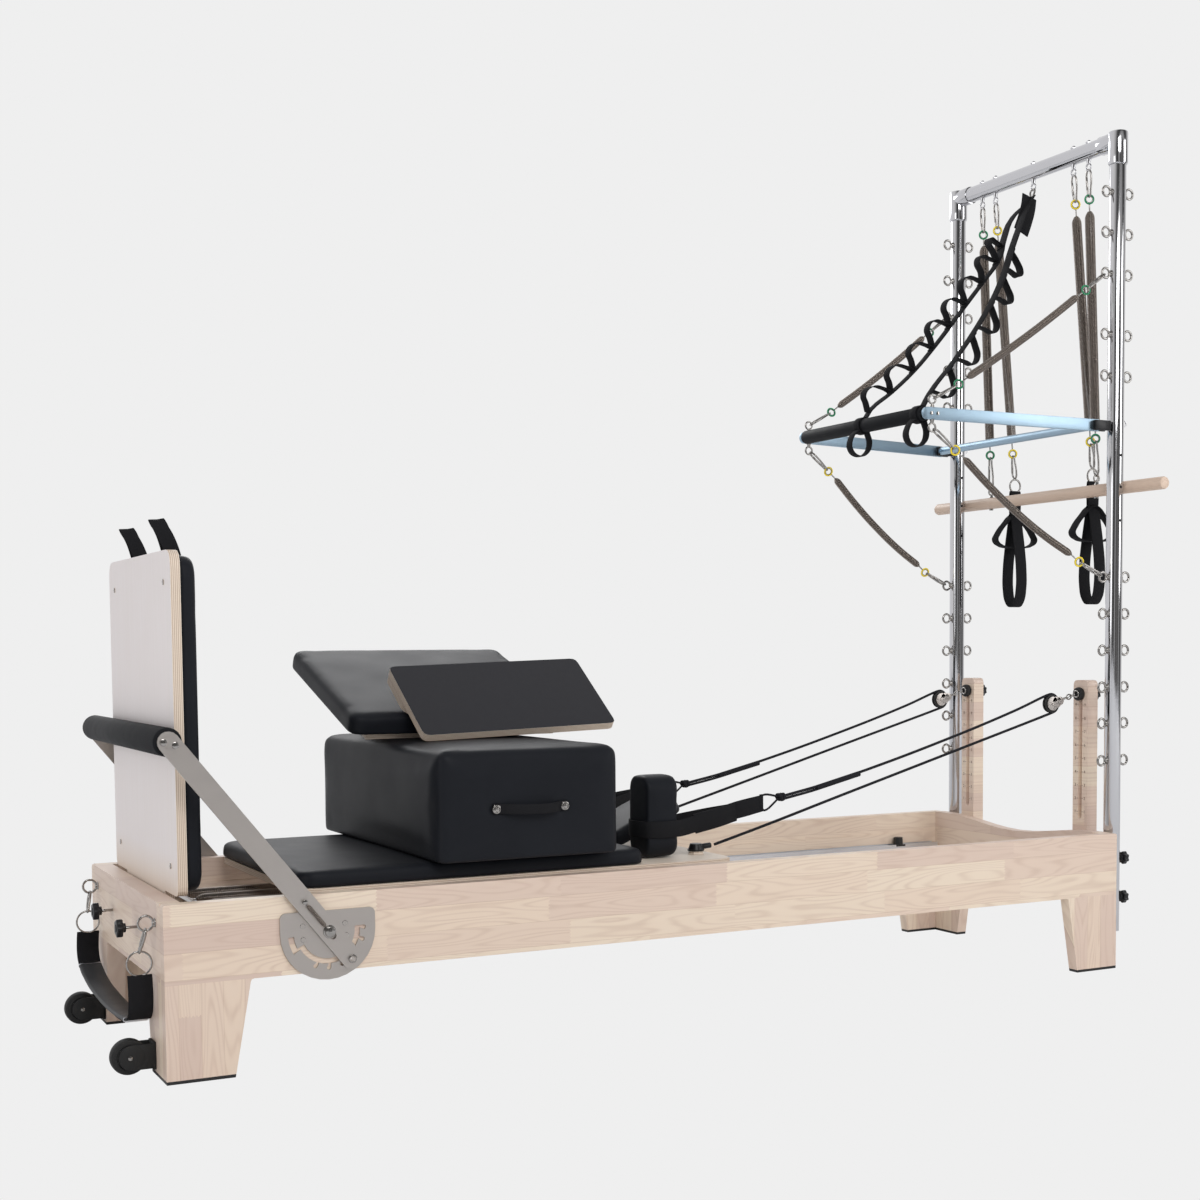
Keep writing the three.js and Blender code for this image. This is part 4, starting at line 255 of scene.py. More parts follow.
def as_mesh(piece):
    pick(piece)
    bpy.ops.object.convert(target="MESH")
    settle(piece)
    bpy.ops.object.mode_set(mode="EDIT")
    bpy.ops.mesh.select_all(action="SELECT")
    bpy.ops.mesh.remove_doubles(threshold=0.01 * mm)
    bpy.ops.mesh.normals_make_consistent(inside=False)
    done()
    return piece


def wire(points, radius, closed=False, steps=6, section=2):
    piece = route_curve(points, closed)
    piece.data.resolution_u = steps
    piece.data.bevel_depth = radius * mm
    piece.data.bevel_resolution = section
    return smooth(as_mesh(piece), 60)


def webbing(points, width, sheet, across, closed=False, steps=6):
    piece = route_curve(points, closed, across)
    piece.data.resolution_u = steps
    piece.data.twist_mode = "Z_UP"
    piece.data.extrude = (width / 2 - sheet / 2) * mm
    piece.data.bevel_depth = sheet / 2 * mm
    piece.data.bevel_resolution = 1
    return smooth(as_mesh(piece), 50)

# %% [markdown]
# A finish is built from nodes. Sums on what flows through the nodes are easier to read as sums than
# as a chart of boxes, so a small class lets them be written that way. One method adds any node, and
# it serves the world as well as the materials.

# %% Shader sums as expressions
class Flow:
    """What one node's socket gives, with sums written as sums."""

    def __init__(self, tree, socket):
        self.tree = tree
        self.socket = socket

    def __add__(self, other):
        return self.tree.maths("ADD", self, other)

    def __radd__(self, other):
        return self.tree.maths("ADD", other, self)

    def __sub__(self, other):
        return self.tree.maths("SUBTRACT", self, other)

    def __rsub__(self, other):
        return self.tree.maths("SUBTRACT", other, self)

    def __mul__(self, other):
        return self.tree.maths("MULTIPLY", self, other)

    def __rmul__(self, other):
        return self.tree.maths("MULTIPLY", other, self)

    def __truediv__(self, other):
        return self.tree.maths("DIVIDE", self, other)

    def __gt__(self, other):
        return self.tree.maths("GREATER_THAN", self, other)

    def __lt__(self, other):
        return self.tree.maths("LESS_THAN", self, other)

    def __pow__(self, other):
        return self.tree.maths("POWER", self, other)

    def __abs__(self):
        return self.tree.maths("ABSOLUTE", self)

    def fraction(self):
        return self.tree.maths("FRACT", self)

    def sine(self):
        return self.tree.maths("SINE", self)


class Tree:
    """The nodes of a material or of the world, while they are being laid out."""

    def __init__(self, node_tree):
        self.nodes = node_tree.nodes
        self.links = node_tree.links

    def fill(self, socket, value):
        if isinstance(value, Flow):
            self.links.new(value.socket, socket)
        else:
            socket.default_value = value

    def node(self, kind, settings, values, out=0):
        """Any node: its type, its settings, and the values or links of its sockets."""
        made = self.nodes.new(kind)
        for name, value in settings.items():
            if name == "stops":
                ramp = made.color_ramp.elements
                while len(ramp) < len(value):
                    ramp.new(0.5)
                for stop, (place, colour) in zip(ramp, value):
                    stop.position = place
                    stop.color = (*colour, 1)
            else:
                setattr(made, name, value)
        for name, value in values.items():
            self.fill(made.inputs[name], value)
        return Flow(self, made.outputs[out])

    def maths(self, operation, first, second=None):
        values = {0: first} if second is None else {0: first, 1: second}
        return self.node("ShaderNodeMath", {"operation": operation}, values)

    def place(self):
        return self.node("ShaderNodeTexCoord", {}, {}, "Object")

    def parts(self, place):
        split = self.node("ShaderNodeSeparateXYZ", {}, {0: place})
        outputs = split.socket.node.outputs
        return [Flow(self, outputs[i]) for i in range(3)]

    def vector(self, x, y, z):
        return self.node("ShaderNodeCombineXYZ", {}, {0: x, 1: y, 2: z})

    def noise(self, place, scale, detail=2.0, roughness=0.5):
        return self.node("ShaderNodeTexNoise", {}, {"Vector": place, "Scale": scale, "Detail": detail,
                                                    "Roughness": roughness})

    def mix(self, share, first, second):
        pair = [value if isinstance(value, Flow) else (*value, 1) for value in (first, second)]
        return self.node("ShaderNodeMix", {"data_type": "RGBA"}, {0: share, 6: pair[0], 7: pair[1]}, 2)

    def ramp(self, share, stops):
        return self.node("ShaderNodeValToRGB", {"stops": stops}, {0: share})

    def dot(self, vector, way):
        return self.node("ShaderNodeVectorMath", {"operation": "DOT_PRODUCT"}, {0: vector, 1: way}, "Value")


class Finish(Tree):
    """A material while it is being built. Its base is one Principled shader."""

    def __init__(self, name, colour, roughness, metallic=0.0):
        self.material = bpy.data.materials.new(name)
        self.material.use_nodes = True
        super().__init__(self.material.node_tree)
        self.skin = self.nodes["Principled BSDF"]
        self.set("Base Color", (*colour, 1))
        self.set("Roughness", roughness)
        self.set("Metallic", metallic)

    def set(self, name, value):
        self.fill(self.skin.inputs[name], value)

    def bump(self, height, strength, distance):
        raised = self.node("ShaderNodeBump", {},
                           {"Height": height, "Strength": strength, "Distance": distance})
        self.set("Normal", raised)

# %% [markdown]
# The bed is pale solid wood glued up from short staves. Each stave has its own tone, its ends are
# cut as fingers that lock into the next one, and its grain runs along it with a few wide arches.
# Rows and columns worked out from the place give the staves, and stretched noise gives the grain.
# The legs take the pattern upright, below the underside of the plank. The alloy track, the rubber
# stops, the rubber feet and the eye bolts of the foot end belong to the same solids, so the finish
# tells them apart by where they are.

# %% Solid wood in staves
cream = (0.80, 0.67, 0.53)
honey = (0.72, 0.565, 0.46)
rose = (0.645, 0.49, 0.41)
black_rubber = (0.012, 0.012, 0.013)
finger_pitch = 7
finger_depth = 9
leg_top = 191.5
foot_rubber_top = 6.5
track_face, track_top = 341.9, 262.6
stop_face, stop_bottom, stop_half = 338.7, 256.6, 16
stops_middle, stops_reach = 1328.5, 895.5
end_face = -0.3


def stave_colours(finish, along, across, seed, stave=52, length=410):
    """Colour and grain of staves that run along one direction."""
    row = finish.maths("FLOOR", across / (stave * mm))
    shift = (row * 12.9898 + seed).sine() * 43.758
    slide = along / (length * mm) + shift.fraction()
    fingers = abs((across / (finger_pitch * mm)).fraction() - 0.5) * (finger_depth / length)
    column = finish.maths("FLOOR", slide + fingers)
    pick_one = ((row * 78.233 + column * 37.719 + seed).sine() * 4375.5).fraction()
    place = finish.vector(along + pick_one * 7, across * 9 + pick_one * 5, seed + pick_one * 3)
    arches = finish.noise(place, 2.4, 1, 0.3)
    wander = finish.noise(finish.vector(along * 9, across * 60, pick_one * 4), 1.0, 2)
    rings = ((arches * 88 + wander * 1.4 + pick_one * 6).sine() * 0.5 + 0.5) ** 3.0
    fibre = finish.noise(finish.vector(along * 14, across * 260, pick_one * 9), 1.0, 4, 0.6)
    tone = finish.ramp(pick_one, [(0.0, cream), (0.4, (0.77, 0.62, 0.49)), (0.75, honey), (1.0, rose)])
    tone = finish.mix(rings * wander * 0.55, tone, (0.50, 0.33, 0.25))
    tone = finish.mix(fibre * 0.2, tone, (0.86, 0.74, 0.62))
    seam = ((across / (stave * mm)).fraction() < 0.018) * 0.35
    return finish.mix(seam, tone, (0.42, 0.27, 0.17)), fibre


def solid_wood(name, flat_axis, legs=True, seed=1.0):
    """Wood whose staves run along X where flat_axis is x, or along Y where it is y."""
    finish = Finish(name, honey, 0.42)
    x, y, z = finish.parts(finish.place())
    along, aside = (x, y) if flat_axis == "x" else (y, x)
    tone, fibre = stave_colours(finish, along, z + 0.008, seed)
    if legs:
        upright = stave_colours(finish, z, along + aside * 0.3, seed + 4, 43, 900)[0]
        tone = finish.mix(z < leg_top * mm, tone, upright)
        tone = finish.mix(z < foot_rubber_top * mm, tone, black_rubber)
        if flat_axis == "x":
            track = (abs(y) < track_face * mm) * (z < track_top * mm)
            from_stop = abs(abs(x - at(stops_middle, 0, 0).x) - stops_reach * mm)
            stop = (from_stop < stop_half * mm) * (abs(y) < stop_face * mm) * (z > stop_bottom * mm)
            tone = finish.mix(track, tone, (0.72, 0.74, 0.78))
            tone = finish.mix(stop, tone, black_rubber)
            metal = track * (stop < 0.5)
        else:
            metal = x < at(end_face, 0, 0).x
            tone = finish.mix(metal, tone, (0.66, 0.65, 0.64))
        finish.set("Metallic", metal)
    finish.set("Base Color", tone)
    finish.set("Roughness", fibre * 0.16 + 0.33)
    finish.bump(fibre, 0.12, 0.0006)
    return finish

# %% [markdown]
# Birch plywood shows its plies on every cut edge: thin layers, light where the grain runs along the
# edge and dark where it is cut across. The layers follow the thickness of the board, so the finish
# is given the direction that the thickness lies in.

# %% Plywood
birch = (0.83, 0.72, 0.60)
ply = 1.8


def plywood_finish(name, thickness_way, first_ply, face=birch, dark_face_from=None, foot_face=None):
    """Birch plywood; thickness_way is the board's thickness direction in the frame."""
    finish = Finish(name, face, 0.4)
    place = finish.place()
    depth = finish.dot(place, thickness_way)
    facing = finish.node("ShaderNodeNewGeometry", {}, {}, "Normal")
    flatness = abs(finish.dot(facing, thickness_way))
    layer = ((depth - first_ply) / (ply * 2 * mm)).fraction()
    speckle = finish.noise(place, 420, 3)
    bands = finish.mix((layer < 0.5) * 0.85, (0.84, 0.74, 0.62), (0.52, 0.38, 0.28))
    bands = finish.mix(speckle * 0.25, bands, (0.40, 0.28, 0.20))
    x, y, z = finish.parts(place)
    fibre = finish.noise(finish.vector(x * 90, y * 90, z * 5), 1.0, 4, 0.6)
    cloud = finish.noise(place, 6.0, 2)
    clean = finish.ramp(z, [(0.29, foot_face), (0.43, face)]) if foot_face else face
    sheet = finish.mix(fibre * 0.2 + cloud * 0.12, clean, (0.66, 0.56, 0.48))
    finish.set("Specular IOR Level", 0.3)
    on_face = flatness > 0.75
    tone = finish.mix(on_face, bands, sheet)
    if dark_face_from is not None:
        grit = finish.noise(place, 900, 2, 0.7)
        black = finish.mix(grit * 0.5, (0.006, 0.006, 0.010), (0.018, 0.018, 0.025))
        tone = finish.mix(on_face * (depth > dark_face_from), tone, black)
    finish.set("Base Color", tone)
    finish.set("Roughness", fibre * 0.12 + 0.36)
    finish.bump(fibre, 0.08, 0.0004)
    return finish

# %% [markdown]
# Upholstery vinyl is nearly black with a cool sheen. A fine pebble grain, made of small cells,
# breaks the highlights, and a slow cloud of roughness keeps large faces from looking like plastic.

# %% Vinyl, foam, webbing, rope, plastic and rubber
def times(tint, factor):
    return tuple(value * factor for value in tint)


def vinyl_finish(name, tint=(0.0105, 0.0115, 0.0145)):
    finish = Finish(name, tint, 0.42)
    place = finish.place()
    cells = finish.node("ShaderNodeTexVoronoi", {"feature": "DISTANCE_TO_EDGE"},
                        {"Vector": place, "Scale": 650.0})
    cloud = finish.noise(place, 9.0, 3)
    finish.set("Base Color", finish.mix(cloud * 0.6, tint, times(tint, 1.7)))
    finish.set("Roughness", cloud * 0.14 + 0.4)
    finish.set("Specular IOR Level", 0.1)
    finish.bump(cells, 0.16, 0.0003)
    return finish


def foam_finish(name, tint=(0.010, 0.0105, 0.012), roughness=0.62):
    finish = Finish(name, tint, roughness)
    finish.set("Specular IOR Level", 0.1)
    place = finish.place()
    pores = finish.noise(place, 1400, 2, 0.7)
    scuff = finish.noise(place, 30, 3)
    finish.set("Base Color", finish.mix(scuff * 0.5, tint, times(tint, 2)))
    finish.set("Roughness", scuff * 0.15 + (roughness - 0.08))
    finish.bump(pores, 0.25, 0.0003)
    return finish


def woven_finish(name, tint=(0.006, 0.006, 0.007), rib=2.2):
    finish = Finish(name, tint, 0.85)
    place = finish.place()
    x, y, z = finish.parts(place)
    wave = 2 * math.pi / (rib * mm)
    ribs = ((x + z) * wave).sine() * ((y * 0.7 + z) * wave).sine()
    fuzz = finish.noise(place, 900, 2)
    finish.set("Base Color", finish.mix(fuzz * 0.5 + ribs * 0.15, tint, times(tint, 3.5)))
    finish.set("Specular IOR Level", 0.2)
    finish.bump(ribs * 0.5 + fuzz * 0.5, 0.35, 0.0004)
    return finish


def plastic_finish(name, tint=(0.009, 0.009, 0.010), roughness=0.33):
    finish = Finish(name, tint, roughness)
    finish.set("Specular IOR Level", 0.35)
    place = finish.place()
    orange = finish.noise(place, 700, 2)
    wear = finish.noise(place, 45, 3)
    finish.set("Base Color", finish.mix(wear * 0.5, tint, times(tint, 1.8)))
    finish.set("Roughness", wear * 0.14 + (roughness - 0.05))
    finish.bump(orange, 0.08, 0.0002)
    return finish

# %% [markdown]
# The metals differ in how finely they were polished. Chrome tube mirrors the studio, brushed plate
# has fine lines along its length, spring wire is dull nickel, and the arms of the tower are
# anodised with a blue cast.

# %% Metals and timber of the small parts
def metal_finish(name, tint, roughness, streak=(40, 40, 40), lines=0.1):
    finish = Finish(name, tint, roughness, 1.0)
    place = finish.place()
    x, y, z = finish.parts(place)
    brushed = finish.noise(finish.vector(x * streak[0], y * streak[1], z * streak[2]), 1.0, 3, 0.6)
    smudge = finish.noise(place, 14.0, 2)
    finish.set("Base Color", finish.mix(smudge * 0.25, tint, times(tint, 0.8)))
    finish.set("Roughness", brushed * lines + smudge * 0.04 + (roughness - 0.03))
    return finish


def dowel_finish(name):
    finish = Finish(name, (0.62, 0.42, 0.28), 0.45)
    x, y, z = finish.parts(finish.place())
    fibre = finish.noise(finish.vector(x * 170, y * 7, z * 170), 1.0, 4, 0.6)
    rings = finish.noise(finish.vector(x * 20, y * 1.5, z * 20), 1.0, 2)
    tone = finish.mix(fibre * 0.5, (0.72, 0.55, 0.43), (0.47, 0.32, 0.23))
    finish.set("Base Color", finish.mix(rings * 0.3, tone, (0.80, 0.65, 0.53)))
    finish.set("Roughness", fibre * 0.2 + 0.35)
    finish.bump(fibre, 0.1, 0.0004)
    return finish


plank_wood = solid_wood("plank_wood", "x", True, 1.0).material
plank_wood_far = solid_wood("plank_wood_far", "x", True, 8.3).material
end_wood = solid_wood("end_wood", "y", True, 5.1).material
riser_wood = solid_wood("riser_wood", "y", False, 2.7).material
vinyl = vinyl_finish("upholstery_vinyl").material
leather = foam_finish("sling_leather", (0.035, 0.036, 0.038), 0.38).material
foam = foam_finish("grip_foam").material
woven = woven_finish("webbing_weave").material
rope_weave = woven_finish("rope_weave", (0.009, 0.009, 0.011), 3.0).material
plastic = plastic_finish("moulded_plastic").material
rubber = plastic_finish("black_rubber", (0.014, 0.014, 0.014), 0.6).material
green_paint = plastic_finish("green_ring", (0.02, 0.20, 0.09), 0.35).material
yellow_paint = plastic_finish("yellow_ring", (0.72, 0.55, 0.03), 0.35).material
chrome = metal_finish("chrome_tube", (0.60, 0.60, 0.62), 0.08, (8, 8, 60), 0.04).material
zinc = metal_finish("polished_zinc", (0.37, 0.355, 0.34), 0.13, (90, 90, 90), 0.1).material
brushed = metal_finish("brushed_plate", (0.56, 0.52, 0.49), 0.33, (30, 200, 700), 0.2).material
spring_wire = metal_finish("spring_wire", (0.25, 0.215, 0.19), 0.2, (60, 60, 60), 0.12).material
blue_alloy = metal_finish("anodised_arm", (0.37, 0.50, 0.61), 0.32, (6, 500, 500), 0.15).material
pale_alloy = metal_finish("rail_alloy", (0.80, 0.82, 0.86), 0.3, (5, 400, 400), 0.1).material
dowel_wood = dowel_finish("dowel_wood").material
print("finishes:", len(bpy.data.materials))

# %% [markdown]
# Two ropes run from the cleats at the head end of the carriage up round a pulley each and back to
# the shoulder rests. A rope is one run of a round braid with a fixed length, so it is a curve
# through a few places, which the solid model shares.

# %% Ropes
rope_y = 233
pulley_x, pulley_z = 2300, 678
sheave_groove = 20
rope_radius = 3.5
wrap_radius = sheave_groove + rope_radius + 0.6
wrap_start, wrap_sweep, wrap_steps = -80, 182, 8


def rope_points(side):
    lower = [(1295, 228, 372), (1400, 232, 401), (1650, 232, 471), (1950, rope_y, 555)]
    wrap = []
    for step in range(wrap_steps + 1):
        angle = math.radians(wrap_start + wrap_sweep * step / wrap_steps)
        wrap.append((pulley_x + wrap_radius * math.cos(angle), rope_y,
                     pulley_z + wrap_radius * math.sin(angle)))
    upper = [(2180, rope_y, 662), (1950, rope_y, 592), (1700, rope_y, 524), (1600, rope_y, 500),
             (1478, rope_y, 476)]
    return [at(x, side * y, z) for x, y, z in lower + wrap + upper]


def centre_line(points):
    """Points close together on the smooth line that a wire through these points follows."""
    piece = route_curve(points)
    piece.data.resolution_u = 10
    line = [vertex.co.copy() for vertex in piece.to_mesh().vertices]
    bpy.data.objects.remove(piece)
    return line


def length_of(line):
    return sum((b - a).length for a, b in zip(line, line[1:]))


def make_rope(side, name):
    y = side * rope_y
    points = rope_points(side)
    line = centre_line(points)
    length = length_of(line)
    rope = wire(points, rope_radius, steps=10)
    rope.name = f"rope_run_{name}"
    dress(rope, rope_weave)
    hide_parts(f"rope_{name}")
    turns = [hoop(at(x, y, 474.5), (1, lean_y, lean_z), 6.5, 4.2, 20, 8)
             for x, lean_y, lean_z in ((1469, 0.3, 0.5), (1475, -0.4, 0.2), (1479, 0.2, -0.3))]
    doubled = [wire([at(1478, y, 469), at(1580, y, 489), at(1690, y, 517)], 3.2),
               bar(at(1575, y, 491.5), at(1700, y, 521), 6.6, 16, 1.5)]
    bridle = wire([at(1470, y, 476), at(1424, y, 481), at(1419.5, y, 476),
                   at(1424, y, 448), at(1429, y, 445), at(1470, y, 473)], 2.6)
    ends = joined(f"rope_knot_{name}", turns + doubled + [bridle])
    fit_on(ends, "carriage", rope_weave)
    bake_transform(rope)
    return length


for side, name in both_sides:
    print("rope", name, "is", round(make_rope(side, name), 3), "m long")

# %% [markdown]
# A webbing loop lies round each shoulder rest, and its two halves meet at the bridle of the rope.
# Webbing keeps its width and bends only across it, so it is modelled as a band along a route.

# %% Straps round the shoulder rests
def rest_strap(side, name):
    front, back, inner, outer = 1096, 1184, 171.5, 272.5
    loop = [(back + 2, outer - 4), (back - 10, outer + 0.5), (front + 14, outer + 0.5),
            (front - 0.5, outer - 12), (front - 0.5, inner + 12), (front + 14, inner - 0.5),
            (back - 10, inner - 0.5), (back + 2, inner + 4)]
    outwards = [(1421, 230, 462), (1350, 226, 449), (1285, 250, 438)]
    homewards = [(1285, 214, 438), (1350, 238, 449), (1421, 236, 462)]

    def band(places, width, sheet, steps=6):
        return webbing([at(x, side * y, z) for x, y, z in places], width, sheet, "z", steps=steps)

    strap = band(outwards + [(x, y, 420) for x, y in loop] + homewards, 38, 3, 5)
    pad = band([(1225, 258, 426), (1290, 256, 438), (1345, 239, 447)], 46, 6)
    fold = band([(1418, 231, 463), (1424, 233, 463.5), (1418, 235, 463)], 40, 2.4)
    piece = joined(f"rest_strap_{name}", [strap, pad, fold])
    fit_on(piece, "carriage", woven, f"rope_strap_{name}")


for side, name in both_sides:
    rest_strap(side, name)
print("straps round the shoulder rests: 2")

# %% [markdown]
# Every cushion here is foam under vinyl, pulled over a board. It starts as a block with round
# corners, is remeshed into small even faces, and a short cloth simulation lets it swell against
# its cover. How far it may swell is capped, and its underside stays flat on what carries it.

# %% Cushions
def cushion(size, corner, edge, swell, voxel=7):
    """An upholstered block with its underside centred on the origin; sizes in millimetres."""
    length, width, height = [value * mm for value in size]
    bpy.ops.mesh.primitive_cube_add(size=1, location=(0, 0, height / 2))
    piece = bpy.context.object
    piece.scale = (length, width, height)
    settle(piece)
    ease(piece, corner, 8, lambda line: abs((line.verts[0].co - line.verts[1].co).normalized().z) > 0.9)
    for level, rounding, segments in ((height, edge, 6), (0, edge * 0.35, 3)):
        ease(piece, rounding, segments, lambda line: all(abs(vert.co.z - level) < 1e-5 for vert in line.verts)
             and any(abs(face.normal.z) < 0.5 for face in line.link_faces))
    piece.data.remesh_voxel_size = voxel * mm
    pick(piece)
    bpy.ops.object.voxel_remesh()
    swell_out(piece, swell * mm)
    smoothing = piece.modifiers.new("even", "CORRECTIVE_SMOOTH")
    smoothing.iterations = 4
    smoothing.use_only_smooth = True
    bpy.ops.object.modifier_apply(modifier="even")
    finer = piece.modifiers.new("finer", "SUBSURF")
    finer.levels = finer.render_levels = 1
    bpy.ops.object.modifier_apply(modifier="finer")
    bpy.ops.object.shade_smooth()
    return piece


def swell_out(piece, cap):
    """A short cloth simulation with pressure; no point moves further than the cap."""
    held_height, moments = 12 * mm, 12
    rest = [vertex.co.copy() for vertex in piece.data.vertices]
    cloth = piece.modifiers.new("swell", "CLOTH")
    cloth.settings.use_pressure = True
    cloth.settings.uniform_pressure_force = 4
    cloth.settings.effector_weights.gravity = 0
    cloth.point_cache.frame_start = 1
    cloth.point_cache.frame_end = moments
    for moment in range(1, moments + 1):
        bpy.context.scene.frame_set(moment)
    bpy.ops.object.modifier_apply(modifier="swell")
    bpy.context.scene.frame_set(1)
    for vertex, start in zip(piece.data.vertices, rest):
        move = vertex.co - start
        if move.length > cap:
            move = move.normalized() * cap
        vertex.co = start + move * min(1, max(0, start.z / held_height))


def lay(piece, place, turned=(0, 0, 0)):
    """Carries a cushion from the origin to its place in the bed, and leaves its object at the origin."""
    piece.matrix_world = Matrix.Translation(place) @ Euler(turned).to_matrix().to_4x4()
    return settle(piece)


def crown(piece, amount):
    """Raises the middle of the upper face, as foam does between its edges."""
    places = [vertex.co for vertex in piece.data.vertices]
    half_x = max(place.x for place in places)
    half_y = max(place.y for place in places)
    top = max(place.z for place in places)
    for vertex in piece.data.vertices:
        rise = (1 - (vertex.co.x / half_x) ** 2) * (1 - (vertex.co.y / half_y) ** 2)
        vertex.co.z += amount * mm * rise * max(0, vertex.co.z / top) ** 3


def upholster(piece, name, body, node):
    piece.name = name
    fit_on(piece, body, vinyl, node)


board_top = 352.3
carriage_pad = cushion((790, 666, 33), 42, 12, 2.5, 8)
crown(carriage_pad, 2.5)
lay(carriage_pad, at((278 + 1070) / 2, 0, board_top))
upholster(carriage_pad, "carriage_cushion", "carriage", "carriage_pad")

sitting_box = cushion((418, 803, 234), 24, 22, 3, 9)
crown(sitting_box, 6)
box_side, dimple_height, dimple_depth, dimple_width = -380, 109, 5.5, 16
for vertex in sitting_box.data.vertices:
    for dimple in (-84, 72):
        away = math.hypot(vertex.co.x - dimple * mm, vertex.co.z - dimple_height * mm)
        if vertex.co.y < box_side * mm:
            vertex.co.y += dimple_depth * mm * math.exp(-((away / (dimple_width * mm)) ** 2))
lay(sitting_box, at(765, 17.5, 388.9))
upholster(sitting_box, "sitting_box_cover", "sitting_box", "sitting_box")

extension = cushion((545, 490, 44), 26, 15, 3, 7)
crown(extension, 4)
tilt = math.radians(18)
box_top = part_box("sitting_box")[1].z / mm
extension_near_z = box_top + 0.3 - 22 * math.sin(tilt)
half_width, foam_bottom = 247, 16
lift_y = half_width * math.cos(tilt) - foam_bottom * math.sin(tilt)
lift_z = half_width * math.sin(tilt) + foam_bottom * math.cos(tilt)
lay(extension, at(759, -24.5 + lift_y, extension_near_z + lift_z), (tilt, 0, 0))
upholster(extension, "extension_cushion", "extension_pad", "extension_pad")

jump_pad = cushion((665, 612, 30), 40, 14, 3, 7)
crown(jump_pad, 2)
lay(jump_pad, at(63.3, 0, (353 + 1020) / 2), (0, math.pi / 2, 0))
upholster(jump_pad, "jump_cushion", "jump_board", "jump_board_pad")

head_cushion = cushion((210, 198, 33), 36, 14, 2.5, 6)
crown(head_cushion, 3)
rest_tilt, rest_reach = math.radians(24), 106
rest_place = at(1100 + rest_reach * math.cos(rest_tilt), 0, 356.3 + rest_reach * math.sin(rest_tilt))
lay(head_cushion, rest_place, (0, -rest_tilt, 0))
upholster(head_cushion, "headrest_cushion", "headrest", "headrest")

shoulder_top = 541
for side, name in both_sides:
    rest = cushion((188, 96, 82), 33, 14, 2, 6)
    lay(rest, at(1099, side * 222, (board_top + shoulder_top) / 2 + 1), (0, math.pi / 2, 0))
    upholster(rest, f"shoulder_cushion_{name}", "carriage", f"shoulder_rest_{name}")
print("cushions:", 7)

# %% [markdown]
# The tower is polished tube with a sleeve at each top corner. Eleven pairs of eye bolts stand on
# each upright, to hang springs at any height. One eye is made from a ring, a cone and a washer, and
# is copied to the other places.

# %% Tower
tower_x, tower_half, tube_radius, bar_height = 2429, 321.6, 21, 2100
eye_heights = [1970, 1869, 1767, 1615, 1511, 1002, 908, 814.5, 720, 627, 531]
eye_reach = 37.6
knob_x, knob_heights = 2463, (275.6, 173.8)


def copies(piece, moves):
    """Copies of a piece, each with a mesh of its own, moved from the first one's place."""
    made = []
    for move in moves:
        twin = piece.copy()
        twin.data = piece.data.copy()
        bpy.context.scene.collection.objects.link(twin)
        twin.matrix_world = Matrix.Translation(move)
        made.append(settle(twin))
    return made


def cone(start, end, first, last, sides=16):
    start, end = Vector(start), Vector(end)
    along = end - start
    bpy.ops.mesh.primitive_cone_add(vertices=sides, radius1=first * mm, radius2=last * mm,
                                    depth=along.length, location=(start + end) / 2, rotation=turn_to(along))
    return smooth(settle(bpy.context.object))


def tower_eye(way):
    """An eye bolt on the upright's surface at the origin of heights, pointing foot- or headwards."""
    edge = way * (tube_radius - 0.6)
    parts = [hoop(at(way * eye_reach, 0, 0), (0, 1, 0), 12.2, 3.1, 28, 8),
             cone(at(edge, 0, 0), at(way * (eye_reach - 11), 0, 0), 7.5, 4.4),
             bar(at(edge, 0, 0), at(way * (tube_radius + 1.6), 0, 0), 8.6, 16, 0.5)]
    return joined("eye", parts)


def upright(side, name):
    y = side * tower_half
    parts = [bar(at(tower_x, y, 88), at(tower_x, y, bar_height - 40), tube_radius, 64, 1)]
    eyes = []
    for way in (-1, 1):
        eye = tower_eye(way)
        eyes += copies(eye, [by(tower_x, y, height) for height in eye_heights])
        bpy.data.objects.remove(eye)
    rings = fit_on(joined(f"tower_eyes_{name}", eyes), "frame", zinc)
    parts.append(block((2381, y - 5.2, 1373), (2409, y + 5.2, 1395), 1.2))
    parts.append(hoop(at(tower_x + 26, y, 1392), (0, 1, 0), 9, 1.7))
    for height in knob_heights:
        parts.append(bar(at(knob_x - 14, y, height), at(knob_x, y, height), 4, 16, 0.4))
    piece = joined(f"tower_tube_{name}", parts)
    fit_on(piece, "frame", chrome)
    plugs = [bar(at(tower_x - 3, y - 1, height), at(tower_x + 22.2, y - 1, height), 4, 12, 0)
             for height in (1341, 1251, 1196, 1151)]
    holes = joined(f"tower_plugs_{name}", plugs)
    fit_on(holes, "frame", rubber)
    knobs = [star_knob(at(knob_x, y, height), (1, 0, 0), 17, 14) for height in knob_heights]
    knob = joined(f"tower_knobs_{name}", knobs)
    fit_on(knob, "frame", plastic, f"tower_upright_{name}")


